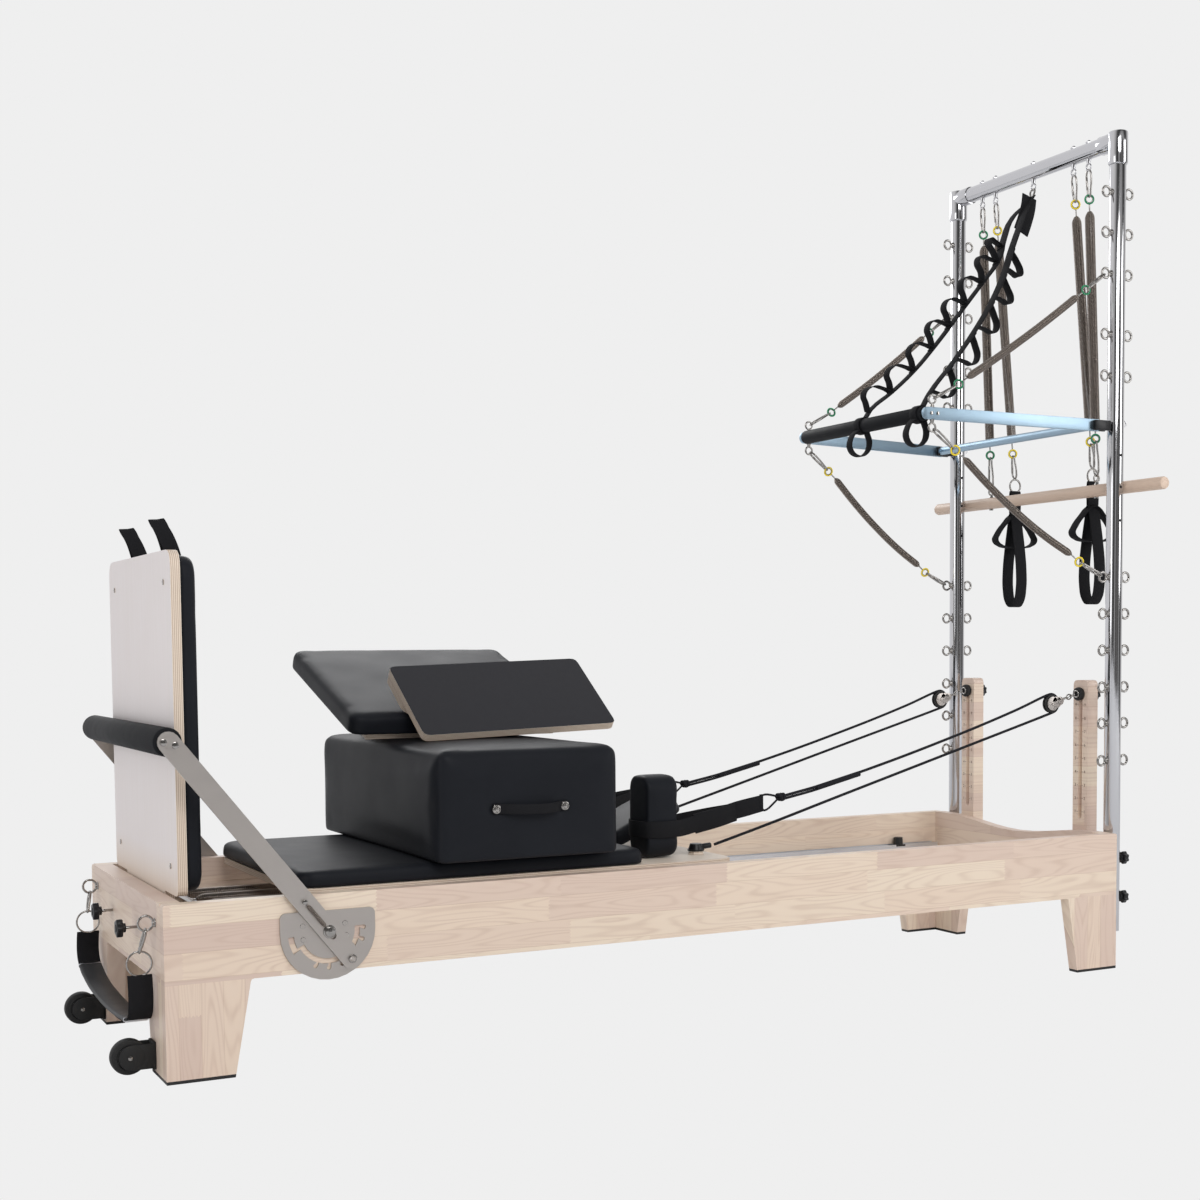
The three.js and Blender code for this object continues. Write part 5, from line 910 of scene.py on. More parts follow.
def star_knob(place, way, radius, thickness, lobes=7):
    """A hand knob with rounded lobes and a neck, its back face at the place."""
    bpy.ops.mesh.primitive_cylinder_add(vertices=lobes * 6, radius=radius * mm, depth=thickness * mm,
                                        location=(0, 0, thickness / 2 * mm))
    piece = settle(bpy.context.object)
    for vertex in piece.data.vertices:
        angle = math.atan2(vertex.co.y, vertex.co.x)
        scale = 1 - 0.2 * (0.5 - 0.5 * math.cos(lobes * angle))
        vertex.co.x *= scale
        vertex.co.y *= scale
    ease(piece, 2.2, 3, lambda line: any(abs(face.normal.z) > 0.99 for face in line.link_faces))
    neck = bar(by(0, 0, -6), by(0, 0, 2), radius * 0.5, 24, 0.6)
    cap = bar(by(0, 0, thickness - 1), by(0, 0, thickness + 1.4), radius * 0.42, 24, 0.6)
    piece = joined("knob", [piece, neck, cap])
    piece.matrix_world = Matrix.Translation(place) @ turn_to(way).to_matrix().to_4x4()
    return smooth(settle(piece))


hook_y, loop_y = 214, 157.5


def crossbar():
    parts = [bar(at(tower_x, -tower_half, bar_height), at(tower_x, tower_half, bar_height),
                 tube_radius, 64, 0)]
    for side in (-1, 1):
        y = side * tower_half
        parts.append(bar(at(tower_x, y, bar_height - 62), at(tower_x, y, bar_height + 22), 24.6, 64, 5))
        parts.append(bar(at(tower_x, y, bar_height), at(tower_x, y - side * 58, bar_height), 23.6, 48, 1))
    for y in (-hook_y, -loop_y, 0, loop_y, hook_y):
        parts.append(hoop(at(tower_x, y, bar_height - 40), (1, 0, 0), 8.4, 2.4))
        parts.append(cone(at(tower_x, y, bar_height - 20), at(tower_x, y, bar_height - 32), 7, 4))
        parts.append(bar(at(tower_x, y, bar_height + 20), at(tower_x, y, bar_height + 24), 8.2, 6, 0.6))
        parts.append(ball(at(tower_x, y, bar_height + 24), 5.2, 6))
    piece = joined("tower_top", parts)
    fit_on(piece, "frame", chrome, "tower_crossbar")


for side, name in both_sides:
    upright(side, name)
crossbar()
print("eye bolts on the uprights:", 4 * len(eye_heights))

# %% [markdown]
# A spring is one wire wound in closed turns, drawn in to a neck at both ends. The Screw modifier
# winds it from a small circle, and the Curve modifier lays it along its sagging line. A painted ring
# at each end tells its strength, and snap hooks with a gate hold it.

# %% Springs, rings and snap hooks
def coil(points, radius, gauge):
    """A wound spring along a route, and the line that it follows."""
    line = centre_line(points)
    length = length_of(line)
    turns = int(length / (gauge * mm))
    bpy.ops.mesh.primitive_circle_add(vertices=6, radius=gauge * 0.49 * mm,
                                      location=by(0, radius - gauge / 2, 0))
    piece = settle(bpy.context.object)
    winding = piece.modifiers.new("winding", "SCREW")
    winding.axis = "X"
    winding.screw_offset = length / turns
    winding.iterations = turns
    winding.steps = winding.render_steps = 12
    pick(piece)
    bpy.ops.object.modifier_apply(modifier="winding")
    neck = 1.5 * radius * mm
    for vertex in piece.data.vertices:
        share = min(1, max(0, min(vertex.co.x, length - vertex.co.x)) / neck)
        waist = 0.3 + 0.7 * math.sin(share * math.pi / 2) ** 0.8
        vertex.co.y *= waist
        vertex.co.z *= waist
    path = route_curve(points)
    path.data.resolution_u = 16
    bending = piece.modifiers.new("bending", "CURVE")
    bending.object = path
    bending.deform_axis = "POS_X"
    pick(piece)
    bpy.ops.object.modifier_apply(modifier="bending")
    bpy.data.objects.remove(path)
    choose(piece, lambda edge: len(edge.link_faces) == 1)
    bpy.ops.mesh.fill_holes(sides=8)
    bpy.ops.mesh.select_all(action="SELECT")
    bpy.ops.mesh.normals_make_consistent(inside=False)
    done()
    pick(piece)
    bpy.ops.object.shade_smooth()
    return piece, line


def snap_hook(start, end, width=17):
    """A pear-shaped hook of bent wire with a gate on one side, as flat across the tower as it can be."""
    along = end - start
    across = Vector((0, 1, 0))
    side = (across - along * (across.dot(along) / along.length_squared)).normalized()
    half = width / 2 * mm

    def spot(share, reach):
        return start + along * share + side * reach

    bow = [(0.05, 0.62), (0.24, 1), (0.8, 0.62), (0.96, 0.42)]
    loop = [spot(0, 0)] + [spot(share, half * reach) for share, reach in bow]
    loop += [spot(1, 0)] + [spot(share, -half * reach) for share, reach in reversed(bow)]
    body = wire(loop, 2.7, closed=True, steps=4)
    gate = bar(spot(0.26, half * 1.02), spot(0.74, half * 0.68), 3.1, 12, 0.6)
    return joined("hook", [body, gate])


spring_gauge = 3
neck_reach = 30
ring_facing = Vector((0.45, 0.89, 0))


def hung_spring(name, node, places, radius, sag, colour):
    """One spring between two eyes; its top is on the frame.

    The places are the eye and the ring at the top, then the ring and the eye at the foot."""
    top_eye, top_ring, foot_ring, foot_eye = [at(*place) for place in places]
    way = (foot_ring - top_ring).normalized()
    first, last = top_ring + way * neck_reach * mm, foot_ring - way * neck_reach * mm
    route = [first.lerp(last, share) + by(0, 0, -sag) * 4 * share * (1 - share)
             for share in (0, 0.25, 0.5, 0.75, 1)]
    turns, line = coil(route, radius, spring_gauge)
    turns.name = f"spring_{name}"
    dress(turns, spring_wire)
    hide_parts(node)
    facing = (ring_facing - way * way.dot(ring_facing)).normalized()
    metal = [wire([top_ring + way * 13.5 * mm, line[0] + way * 4 * mm], 1.9),
             wire([foot_ring - way * 13.5 * mm, line[-1] - way * 4 * mm], 1.9)]
    metal += [hoop(ring, facing, 8.2, 1.2, 20, 6) for ring in (top_ring, foot_ring)]
    for eye, ring in ((top_eye, top_ring), (foot_eye, foot_ring)):
        line_way = (ring - eye).normalized()
        metal.append(snap_hook(eye + line_way * 6.5 * mm, ring - line_way * 6.3 * mm))
    fittings = joined(f"spring_hooks_{name}", metal)
    dress(fittings, zinc)
    painted = []
    for end, ring in (("top", top_ring), ("foot", foot_ring)):
        hold = hoop(ring, facing, 11.2, 2.1, 28, 8)
        hold.name = f"spring_ring_{end}_{name}"
        dress(hold, colour)
        painted.append(hold)
    for piece in [turns, fittings] + painted:
        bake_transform(piece)


roll_x, roll_eye = 2465.6, 1264
loop_x, loop_eye = 2504.1, 1292
bar_eye_x = 1886
for side, name in both_sides:
    y = side * hook_y
    hung_spring(f"roll_bar_{name}", f"roll_bar_spring_{name}",
                ((tower_x, y, 2060), (2432.7, y, 1979), (2460.9, y, 1367), (roll_x, y, roll_eye)),
                13, 0, green_paint)
    y = side * loop_y
    hung_spring(f"hand_loop_{name}", f"hand_loop_spring_{name}",
                ((tower_x, y, 2060), (2436.8, y, 1979), (2495, y, 1367), (loop_x, y, loop_eye)),
                13, 0, yellow_paint)
    on_tower, near_tower, near_bar, on_bar = side * tower_half, side * 320, side * 277, side * 272
    hung_spring(f"bar_upper_{name}", f"bar_spring_upper_{name}",
                ((2391.4, on_tower, 1767), (2328, near_tower, 1719),
                 (1962.6, near_bar, 1467.4), (bar_eye_x, on_bar, 1426.5)),
                9.6, 6, green_paint)
    hung_spring(f"bar_lower_{name}", f"bar_spring_lower_{name}",
                ((2391.4, on_tower, 1002), (2313, near_tower, 1039),
                 (1953, near_bar, 1306.5), (bar_eye_x, on_bar, 1359.5)),
                9.6, 17, yellow_paint)
print("tower springs:", 8)

# %% [markdown]
# The push-through bar has two flat blue arms, a foam grip on a tube and a cross tube at the back. The
# arms are flat bar with a rounded front end, held to the grip tube by two small screws each.

# %% Push-through bar
grip_x, grip_z, grip_half = 1872, 1393, 262
arm_y, hinge_z = 272, 1384
arm_past_grip, arm_thick, arm_tall = 15, 8, 30


def push_arm(side):
    start, end = at(grip_x, side * arm_y, grip_z), at(2370, side * tower_half, hinge_z)
    along = end - start
    bpy.ops.mesh.primitive_cube_add(size=1, location=(0, 0, 0))
    piece = bpy.context.object
    piece.scale = Vector((along.length, 0, 0)) + by(arm_past_grip, arm_thick, arm_tall)
    settle(piece)
    ease(piece, arm_tall / 2 - 0.5, 10, lambda line: all(vert.co.x < 0 for vert in line.verts)
         and abs((line.verts[0].co - line.verts[1].co).normalized().y) > 0.9)
    ease(piece, 0.9, 2, lambda line: any(abs(face.normal.y) > 0.99 for face in line.link_faces)
         and not all(abs(face.normal.y) > 0.99 for face in line.link_faces))
    heading = Matrix.Rotation(math.atan2(along.y, along.x), 4, "Z")
    slope = Matrix.Rotation(-math.atan2(along.z, math.hypot(along.x, along.y)), 4, "Y")
    middle = (start + end) / 2 - along.normalized() * arm_past_grip / 2 * mm
    piece.matrix_world = Matrix.Translation(middle) @ heading @ slope
    return smooth(settle(piece))


arms = [push_arm(-1), push_arm(1), bar(at(2362, -321, hinge_z), at(2362, 321, hinge_z), 11, 40, 0)]
push_bar = joined("push_bar_arms", arms)
fit_on(push_bar, "push_through_bar", blue_alloy, "push_through_bar")
small = []
for side in (-1, 1):
    for x in (grip_x + 9, grip_x + 27):
        y = side * (arm_y + arm_thick / 2 + (x - grip_x) * 0.1)
        small.append(bar(at(x, y - side * 1, grip_z), at(x, y + side * 1.6, grip_z), 4.6, 20, 0.6))
    y = side * arm_y
    for rise in (-33.5, 33.5):
        small.append(hoop(at(bar_eye_x, y, grip_z + rise), (0, 1, 0), 10.2, 2.5))
        small.append(cone(at(bar_eye_x, y, grip_z + rise * 0.42), at(bar_eye_x, y, grip_z + rise * 0.7),
                          6, 3.6))
    small.append(bar(at(grip_x, side * grip_half, grip_z), at(grip_x, side * (grip_half + 6), grip_z),
                     13, 32, 0.5))
    y = side * tower_half
    small.append(bar(at(2391, y - 14, hinge_z), at(2391, y + 14, hinge_z), 3.5, 20, 0.5))
push_fittings = joined("push_bar_fittings", small)
fit_on(push_fittings, "push_through_bar", zinc)
forks = []
for side in (-1, 1):
    y = side * tower_half
    for inner in (5.9, -14.1):
        forks.append(block((2350, y + inner, 1371.2), (2403, y + inner + 8.2, 1396.8), 3))
    forks.append(block((2350, y - 13, 1371.6), (2371, y + 13, 1396.4), 2))
fork_piece = joined("push_bar_forks", forks)
fit_on(fork_piece, "push_through_bar", plastic)
grip = bar(at(grip_x, -grip_half, grip_z), at(grip_x, grip_half, grip_z), 18, 48, 2.5)
grip.name = "push_bar_foam"
fit_on(grip, "push_through_bar", foam, "push_through_grip")
print("push-through bar fittings:", len(small))

# %% [markdown]
# The roll-down bar is a turned hardwood dowel with rounded ends, hung from two small eyes.

# %% Roll-down bar
roll_z, roll_half = 1232, 460
dowel = bar(at(roll_x, -roll_half, roll_z), at(roll_x, roll_half, roll_z), 16, 48, 5)
dowel.name = "roll_bar_dowel"
fit_on(dowel, "roll_down_bar", dowel_wood, "roll_down_bar")
dowel_eyes = []
for y in (-hook_y, hook_y):
    dowel_eyes += [hoop(at(roll_x, y, roll_eye), (0, 1, 0), 9, 2.2),
                   cone(at(roll_x, y, roll_z + 15), at(roll_x, y, roll_z + 24), 6, 3),
                   bar(at(roll_x, y, roll_z - 20), at(roll_x, y, roll_z - 15), 6, 6, 0.5)]
dowel_fittings = joined("roll_bar_eyes", dowel_eyes)
fit_on(dowel_fittings, "roll_down_bar", zinc)
print("roll-down bar length:", 2 * roll_half, "mm")

# %% [markdown]
# Holes that are not in use are closed by small black plugs. They are short bars that stand out of
# the tube by less than a millimetre.

# %% Plugs in the uprights
plugs = []
for side in (-1, 1):
    for height in (1310, 1230, 1145):
        y = side * tower_half
        plugs.append(bar(at(tower_x, y - 19, height), at(tower_x, y - tube_radius - 0.8, height), 3.6, 16, 0.3))
fit_on(joined("tower_plugs", plugs), "frame", plastic)
print("plugs in the uprights:", len(plugs))

# %% [markdown]
# Each hand loop is one long strap and one short strap sewn to a steel ring. The long one hangs in a
# narrow drop shape, and the short one stands off to both sides with a cross band.

# %% Hand loops
def hand_loop(side, name):
    y = side * loop_y
    ring = hoop(at(loop_x, y, 1277), (0, 1, 0), 18.4, 2.6, 32, 10)
    ring.name = f"loop_ring_{name}"
    fit_on(ring, f"hand_loop_{name}", zinc)
    long_loop = []
    for step in range(14):
        angle = 2 * math.pi * step / 14
        share = (1 - math.cos(angle)) / 2
        swell = math.sin(angle) * (0.22 + 0.78 * share)
        long_loop.append(at(loop_x, y + 42 * swell, 1199 - 261 * share))
    straps = [webbing(long_loop, 38, 3, "x", closed=True, steps=4)]
    hanger = [at(loop_x, y + out, z) for out, z in ((-3, 1200), (-3, 1255), (0, 1262), (3, 1255), (3, 1200))]
    straps.append(webbing(hanger, 36, 3, "x"))
    straps.append(block((loop_x - 18, y - 5, 1222), (loop_x + 18, y + 5, 1236), 2))
    short = [at(loop_x + x, y, z) for x, z in ((0, 1197), (-40, 1168), (-64, 1139), (-70, 1126), (-60, 1113),
                                               (0, 1105), (60, 1113), (70, 1126), (64, 1139), (40, 1168))]
    straps.append(webbing(short, 28, 3, "y", closed=True, steps=4))
    piece = joined(f"loop_straps_{name}", straps)
    fit_on(piece, f"hand_loop_{name}", woven, f"hand_loop_{name}")


for side, name in both_sides:
    hand_loop(side, name)
print("hand loops: 2")

# %% [markdown]
# The ladder strap hangs from the middle eye as two legs with sewn rungs, each rung a small loop that
# stands off the leg. Both legs end in a band round the foam grip.

# %% Ladder strap
ladder_left = [(2412, -14, 2029), (2389, -26, 2009), (2350, -12, 1970), (2290, -45, 1895),
               (2220, -102, 1815), (2182, -100, 1770), (2106, -96, 1681), (2031, -93, 1594),
               (1973, -76, 1525), (1930, -42, 1475), (1898, -2, 1438), (1881, 0, 1414.5)]
ladder_right = [(2412, -14, 2029), (2389, -27, 2009), (2341, -62, 1957), (2244, -130, 1843),
                (2188, -174, 1777), (2115, -215, 1692), (2036, -236, 1599), (1970, -240, 1522),
                (1904, -240, 1448), (1881, -240, 1411.5)]
ladder_width, ladder_sheet = 25, 2.6


def on_line(line, share):
    """The place at a share of a line's length, and the line's direction there."""
    left = share * length_of(line)
    for a, b in zip(line, line[1:]):
        step = (b - a).length
        if left <= step:
            return a.lerp(b, left / step), (b - a).normalized()
        left -= step
    return line[-1], (line[-1] - line[-2]).normalized()


def ladder_leg(route, way, shares):
    points = [at(*place) for place in route]
    line = centre_line(points)
    pieces = [webbing(points, ladder_width, ladder_sheet, "y", steps=4)]
    for share in shares:
        start, along = on_line(line, share - 0.038)
        end, _ = on_line(line, share + 0.052)
        out = along.cross(Vector((0, 1, 0))).normalized() * way
        middle = (start + end) / 2
        bow = [(-30, 24), (-12, 47), (16, 46), (27, 24)]
        rung = [start + out * 2 * mm]
        rung += [middle + along * step * mm + out * rise * mm for step, rise in bow]
        rung += [end + out * 2 * mm]
        pieces.append(webbing(rung, ladder_width, ladder_sheet, "y", steps=5))
        seam = [start + along * step * mm + out * 1.2 * mm for step in (-9, 9)]
        pieces.append(webbing(seam, 25.4, 5, "y", steps=2))
    return pieces


def grip_band(y):
    band = []
    for step in range(12):
        angle = 2 * math.pi * step / 12
        band.append(at(grip_x + 20.6 * math.cos(angle), y, grip_z + 20.6 * math.sin(angle)))
    hang = [at(x, y, z) for x, z in ((1885, 1377), (1893, 1350), (1882, 1324), (1856, 1316),
                                     (1833, 1334), (1838, 1364), (1854, 1381))]
    return [webbing(band, ladder_width, ladder_sheet, "y", closed=True, steps=4),
            webbing(hang, ladder_width, ladder_sheet, "y", steps=5)]


left_rungs = [0.30, 0.39, 0.48, 0.57, 0.66, 0.75, 0.84, 0.93]
right_rungs = [0.36, 0.50, 0.63, 0.76, 0.89]
legs = ladder_leg(ladder_left, -1, left_rungs) + ladder_leg(ladder_right, 1, right_rungs)
head_band = [at(2400, -18, 2027), at(2387, -29, 1996), at(2364, -43, 1956), at(2340, -56, 1920)]
legs.append(webbing(head_band, 46, 3.4, "x"))
legs += grip_band(0) + grip_band(-240)
ladder = joined("ladder_webbing", legs)
dress(ladder, woven)
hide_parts("ladder_strap")
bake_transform(ladder)
ladder_hook = snap_hook(at(2427, 0, 2053), at(2412, -14, 2026), 16)
ladder_hook.name = "ladder_hook"
fit_on(ladder_hook, "frame", zinc)
print("rungs on the ladder strap:", len(left_rungs) + len(right_rungs))

# %% [markdown]
# At the foot end hangs a sling: webbing from two rings, with a padded leather middle that ends in
# light piping. Snap hooks hold its rings on two eye bolts.

# %% Foot sling
sling_x = -28
sling_eye_x, sling_eye_z = -18, 305
sling_route = [(-281, 202), (-284, 190), (-287, 150), (-275, 121), (-235, 107), (-82, 99), (60, 102),
               (180, 113), (262, 134), (285, 158), (283, 190), (276, 207)]


def sling_part(first, last, width, sheet, name, finish):
    piece = webbing([at(sling_x, y, z) for y, z in sling_route[first:last]], width, sheet, "x")
    piece.name = name
    fit_on(piece, "frame", finish)
    return piece


strap = sling_part(0, 12, 48, 3.2, "sling_webbing", woven)
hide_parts("foot_strap")
sling_part(4, 9, 49.5, 9, "sling_leather", leather)
piping = []
for y, z, rise in ((-237, 107, -0.3), (260, 133.5, 0.75)):
    piping.append(webbing([at(sling_x, y, z), at(sling_x, y + 3, z + rise)], 50.5, 10, "x", steps=2))
fit_on(joined("sling_piping", piping), "frame", pale_alloy)
metal = []
for y, z, eye_y in ((-281, 224, -300), (276, 229, 300)):
    metal.append(hoop(at(sling_x, y, z), (0, 1, 0), 24, 2, 36, 8))
    metal.append(hoop(at(sling_eye_x, eye_y, sling_eye_z), (0, 1, 0), 14.6, 2.4, 28, 8))
    metal.append(bar(at(-1.6, eye_y, sling_eye_z), at(0.2, eye_y, sling_eye_z), 9, 20, 0.5))
    metal.append(bar(at(-6, eye_y, sling_eye_z), at(0, eye_y, sling_eye_z), 4.4, 16, 0.5))
    metal.append(snap_hook(at(sling_eye_x, eye_y, sling_eye_z - 12), at(sling_x, y, z + 22)))
fit_on(joined("sling_metal", metal), "frame", zinc)
print("sling pieces: 4")

# %% [markdown]
# Knobs, casters and pulleys are the small black parts. The caster wheel has six ribs between its hub
# and its rim, and its fork covers one half of it.

# %% Knobs, casters and pulleys
stud_z = 701
foot_knob_y, foot_knob_z = 130, 273
caster_x, caster_y, caster_z = -50, 262, 40


def end_knobs(side, name):
    y = side * foot_knob_y
    knob = star_knob(at(-30, y, foot_knob_z), (-1, 0, 0), 19, 13, 5)
    knob.name = f"foot_knob_{name}"
    fit_on(knob, f"foot_knob_{name}", plastic, f"foot_end_knob_{name}")
    screw = bar(at(-32, y, foot_knob_z), at(-0.5, y, foot_knob_z), 3, 16, 0.2)
    screw.name = f"foot_knob_screw_{name}"
    fit_on(screw, f"foot_knob_{name}", zinc)
    knob = star_knob(at(2444, side * rope_y, stud_z), (1, 0, 0), 16.5, 13)
    knob.name = f"riser_knob_{name}"
    fit_on(knob, f"riser_knob_{name}", plastic, f"riser_knob_{name}")


def caster(side, name):
    y = side * caster_y

    def axle(out):
        return at(caster_x, y + out, caster_z)

    parts = [bar(axle(-12), axle(12), 35.5, 56, 6)]
    for face in (-1, 1):
        parts.append(hoop(axle(face * 12), (0, 1, 0), 25, 1.6, 40, 8))
        parts.append(bar(axle(face * 11), axle(face * 14.4), 9.5, 28, 1))
        for step in range(6):
            angle = math.radians(60 * step + 20)
            outwards = Vector((math.cos(angle), 0, math.sin(angle))) * mm
            rib = axle(face * 12.2)
            parts.append(bar(rib + 9 * outwards, rib + 24 * outwards, 2, 10, 0.3))
    wheel = joined(f"caster_{name}", parts)
    fit_on(wheel, f"transport_wheel_{name}", rubber, f"caster_wheel_{name}")
    fork = []
    for face in (-1, 1):
        low, high = sorted((y + face * 16.4, y + face * 20.6))
        fork.append(block((-46, low, 15), (-1, high, 65), 2))
        fork.append(bar(at(-46, low - 0.3, caster_z), at(-46, high + 0.3, caster_z), 24.9, 48, 1.2))
    fork.append(block((-7, y - 20.6, 12.5), (-0.6, y + 20.6, 67.5), 1.4))
    fork_piece = joined(f"caster_fork_{name}", fork)
    fit_on(fork_piece, "frame", rubber, f"caster_bracket_{name}")
    bolts = [bar(axle(-22.6), axle(22.6), 5, 6, 0.6), bar(axle(-23.2), axle(23.2), 2.6, 16, 0.4)]
    for rise in (27, 53):
        for out in (-15, 15):
            bolts.append(bar(at(-9, y + out, rise), at(-6, y + out, rise), 3.4, 16, 0.5))
    fit_on(joined(f"caster_bolts_{name}", bolts), "frame", zinc)


def across(middle, low, high, radius, sides=32, rim=0.8):
    """A bar across the bed, between two steps in Y from its middle."""
    return bar(middle + by(0, low, 0), middle + by(0, high, 0), radius, sides, rim)


def pulley(side, name):
    y = side * rope_y
    place = at(pulley_x, y, pulley_z)
    rim = [across(place, -6, -2.6, 23.6, 48, 1.2), across(place, 2.6, 6, 23.6, 48, 1.2),
           across(place, -3, 3, 18.8, 48, 0)]
    wheel = joined(f"sheave_wheel_{name}", rim)
    fit_on(wheel, f"sheave_{name}", rubber, f"sheave_{name}")
    way = (at(2386, y, stud_z) - place).normalized()
    neck, swivel = place + way * 34 * mm, place + way * 44 * mm
    cheeks = []
    for low, high in ((-9.4, -7.2), (7.2, 9.4)):
        for reach, radius in ((0, 18), (13, 15), (25, 11)):
            cheeks.append(across(place + way * reach * mm, low, high, radius, 40, 0.6))
    cheeks.append(across(neck - way * 9 * mm, -9, 9, 5.5, 24, 1))
    cheeks.append(across(place, -11, 11, 5, 24))
    plates = joined(f"pulley_cheeks_{name}", cheeks)
    fit_on(plates, f"pulley_{name}", brushed, f"pulley_block_{name}")
    chain = [bar(neck - way * 4 * mm, swivel, 3.4, 20, 0.8)]
    flat = Vector((0, 1, 0))
    upright_way = way.cross(flat).normalized()
    for step, facing in enumerate((flat, upright_way, flat)):
        start = swivel + way * (step * 12.4 - 3) * mm
        span = facing * 5.2 * mm
        loop = [start, start + way * 4 * mm + span, start + way * 13 * mm + span, start + way * 17 * mm,
                start + way * 13 * mm - span, start + way * 4 * mm - span]
        chain.append(wire(loop, 1.7, closed=True, steps=5))
    chain.append(bar(at(2398, y, stud_z), at(2436, y, stud_z), 5, 20, 0.4))
    chain.append(hoop(at(2385.5, y, stud_z), (1, 0, 0), 8.5, 2.2, 28, 8))
    chain.append(bar(at(2436, y, stud_z), at(2440.2, y, stud_z), 12, 28, 0.6))
    links = joined(f"pulley_chain_{name}", chain)
    fit_on(links, f"pulley_{name}", zinc)
    plate = joined(f"pulley_disc_{name}", [bar(at(2387.4, y, stud_z), at(2399.8, y, stud_z), 17.4, 44, 3),
                                           hoop(at(2387.6, y, stud_z), (1, 0, 0), 13, 1.4, 32, 8)])
    fit_on(plate, f"pulley_{name}", rubber)


for side, name in both_sides:
    end_knobs(side, name)
    caster(side, name)
    pulley(side, name)
print("casters and pulleys: 4")

# %% [markdown]
# The risers carry a plain scale on both sides of the slot: a short line and a number at each step.
# The numbers are only a count from the bottom to the top.

# %% Scale on the risers
scale_steps, scale_start, scale_pitch = 9, 392, 35
riser_face, ink_height = 2400, 0.42
line_out, digit_out = 9.5, 17


def riser_scale(side, name):
    marks = []
    facing = Matrix(((0, 0, -1), (-1, 0, 0), (0, 1, 0))).to_4x4()
    for step in range(scale_steps):
        height = scale_start + step * scale_pitch
        for way in (-1, 1):
            line_y = side * rope_y + way * line_out
            marks.append(block((riser_face, line_y - 2.6, height - 0.5),
                               (riser_face + ink_height, line_y + 2.6, height + 0.5), 0.1, 1))
            bpy.ops.object.text_add(location=(0, 0, 0))
            digit = bpy.context.object
            digit.data.body = str(step + 1)
            digit.data.size = 11 * mm
            digit.data.extrude = 0.15 * mm
            digit.data.align_x = "CENTER"
            digit.data.align_y = "CENTER"
            digit.data.resolution_u = 3
            digit_y = side * rope_y + way * digit_out
            digit.matrix_world = Matrix.Translation(at(riser_face + 0.15, digit_y, height)) @ facing
            pick(digit)
            bpy.ops.object.convert(target="MESH")
            marks.append(settle(bpy.context.object))
    piece = joined(f"riser_scale_{name}", marks)
    fit_on(piece, "frame", scale_ink)


scale_ink = plastic_finish("burnt_scale", (0.13, 0.07, 0.045), 0.6).material
for side, name in both_sides:
    riser_scale(side, name)
print("scale steps:", scale_steps)

# %% [markdown]
# Small things on the loose equipment: two webbing loops and four screws on the jump board, the
# strap handle of the sitting box, and the wooden feet of the extension board.

# %% Loops, handle and feet
arch = ((72, 0, 1006), (60, 1, 1044), (46, 7, 1074), (40, 17, 1087), (50, 27, 1076), (63, 33, 1044),
        (72, 35, 1006))
loops = []
for low in (66, -228):
    loops.append(webbing([at(x, low + reach, z) for x, reach, z in arch], 30, 3, "x"))
loop_piece = joined("jump_loops", loops)
fit_on(loop_piece, "jump_board", woven)
screws = []
for y, z in ((-246, 965), (246, 965), (-250, 407), (250, 407)):
    screws.append(bar(at(41.6, y, z), at(44.5, y, z), 5.6, 24, 1.1))
    screws.append(bar(at(41.2, y, z), at(42, y, z), 2.2, 6, 0.3))
fit_on(joined("jump_screws", screws), "jump_board", zinc)
handle = webbing([at(674, -386.4, 498), at(692, -388, 498), at(706, -397, 498), at(728, -404, 497),
                  at(759, -406.4, 496), at(790, -405, 496), at(810, -399, 497), at(826, -388, 498),
                  at(844, -386.4, 498)], 21, 3.4, "z")
handle.name = "box_handle"
fit_on(handle, "sitting_box", woven)
handle_z = 498
cups = []
for x in (681, 837.5):
    cups.append(bar(at(x, -390.6, handle_z), at(x, -386, handle_z), 9.6, 32, 1.2))
    cups.append(hoop(at(x, -390.8, handle_z), (0, 1, 0), 7.4, 1, 28, 8))
    cups.append(bar(at(x, -393, handle_z), at(x, -390, handle_z), 4.6, 24, 1.4))
fit_on(joined("box_handle_screws", cups), "sitting_box", zinc)
board_near_edge = at(759, -24.5, 623.5)
feet = joined("extension_feet", [block((-229.5, 22, 0.2), (229.5, 82, 15.8), 1),
                                 block((-130, 330, -103.7), (130, 348, 15.8), 1)])
feet.matrix_world = (Matrix.Translation(board_near_edge) @ Matrix.Rotation(tilt, 4, "X")
                     @ Matrix.Translation(-foot_middle))
settle(feet)
feet_way = (0, -math.sin(tilt), math.cos(tilt))
feet_ply = plywood_finish("feet_ply", feet_way, board_near_edge.dot(Vector(feet_way))).material
fit_on(feet, "extension_pad", feet_ply)
print("loops, handle and feet: 4")

# %% [markdown]
# Fittings of the foot bar and the bed: the pivot bolts with their washers, the return springs, the
# stop pins, the padded roller, the rope cleats and the four springs under the carriage. The arms
# lean towards the foot end, so places on them are given by how far they are from the pivot.

# %% Foot bar and bed fittings
arm_lean = math.radians(38.38)
bar_pivot_x, bar_pivot_z = 321.6, 272.4


def on_arm(reach, y):
    return at(bar_pivot_x - reach * math.sin(arm_lean), y, bar_pivot_z + reach * math.cos(arm_lean))


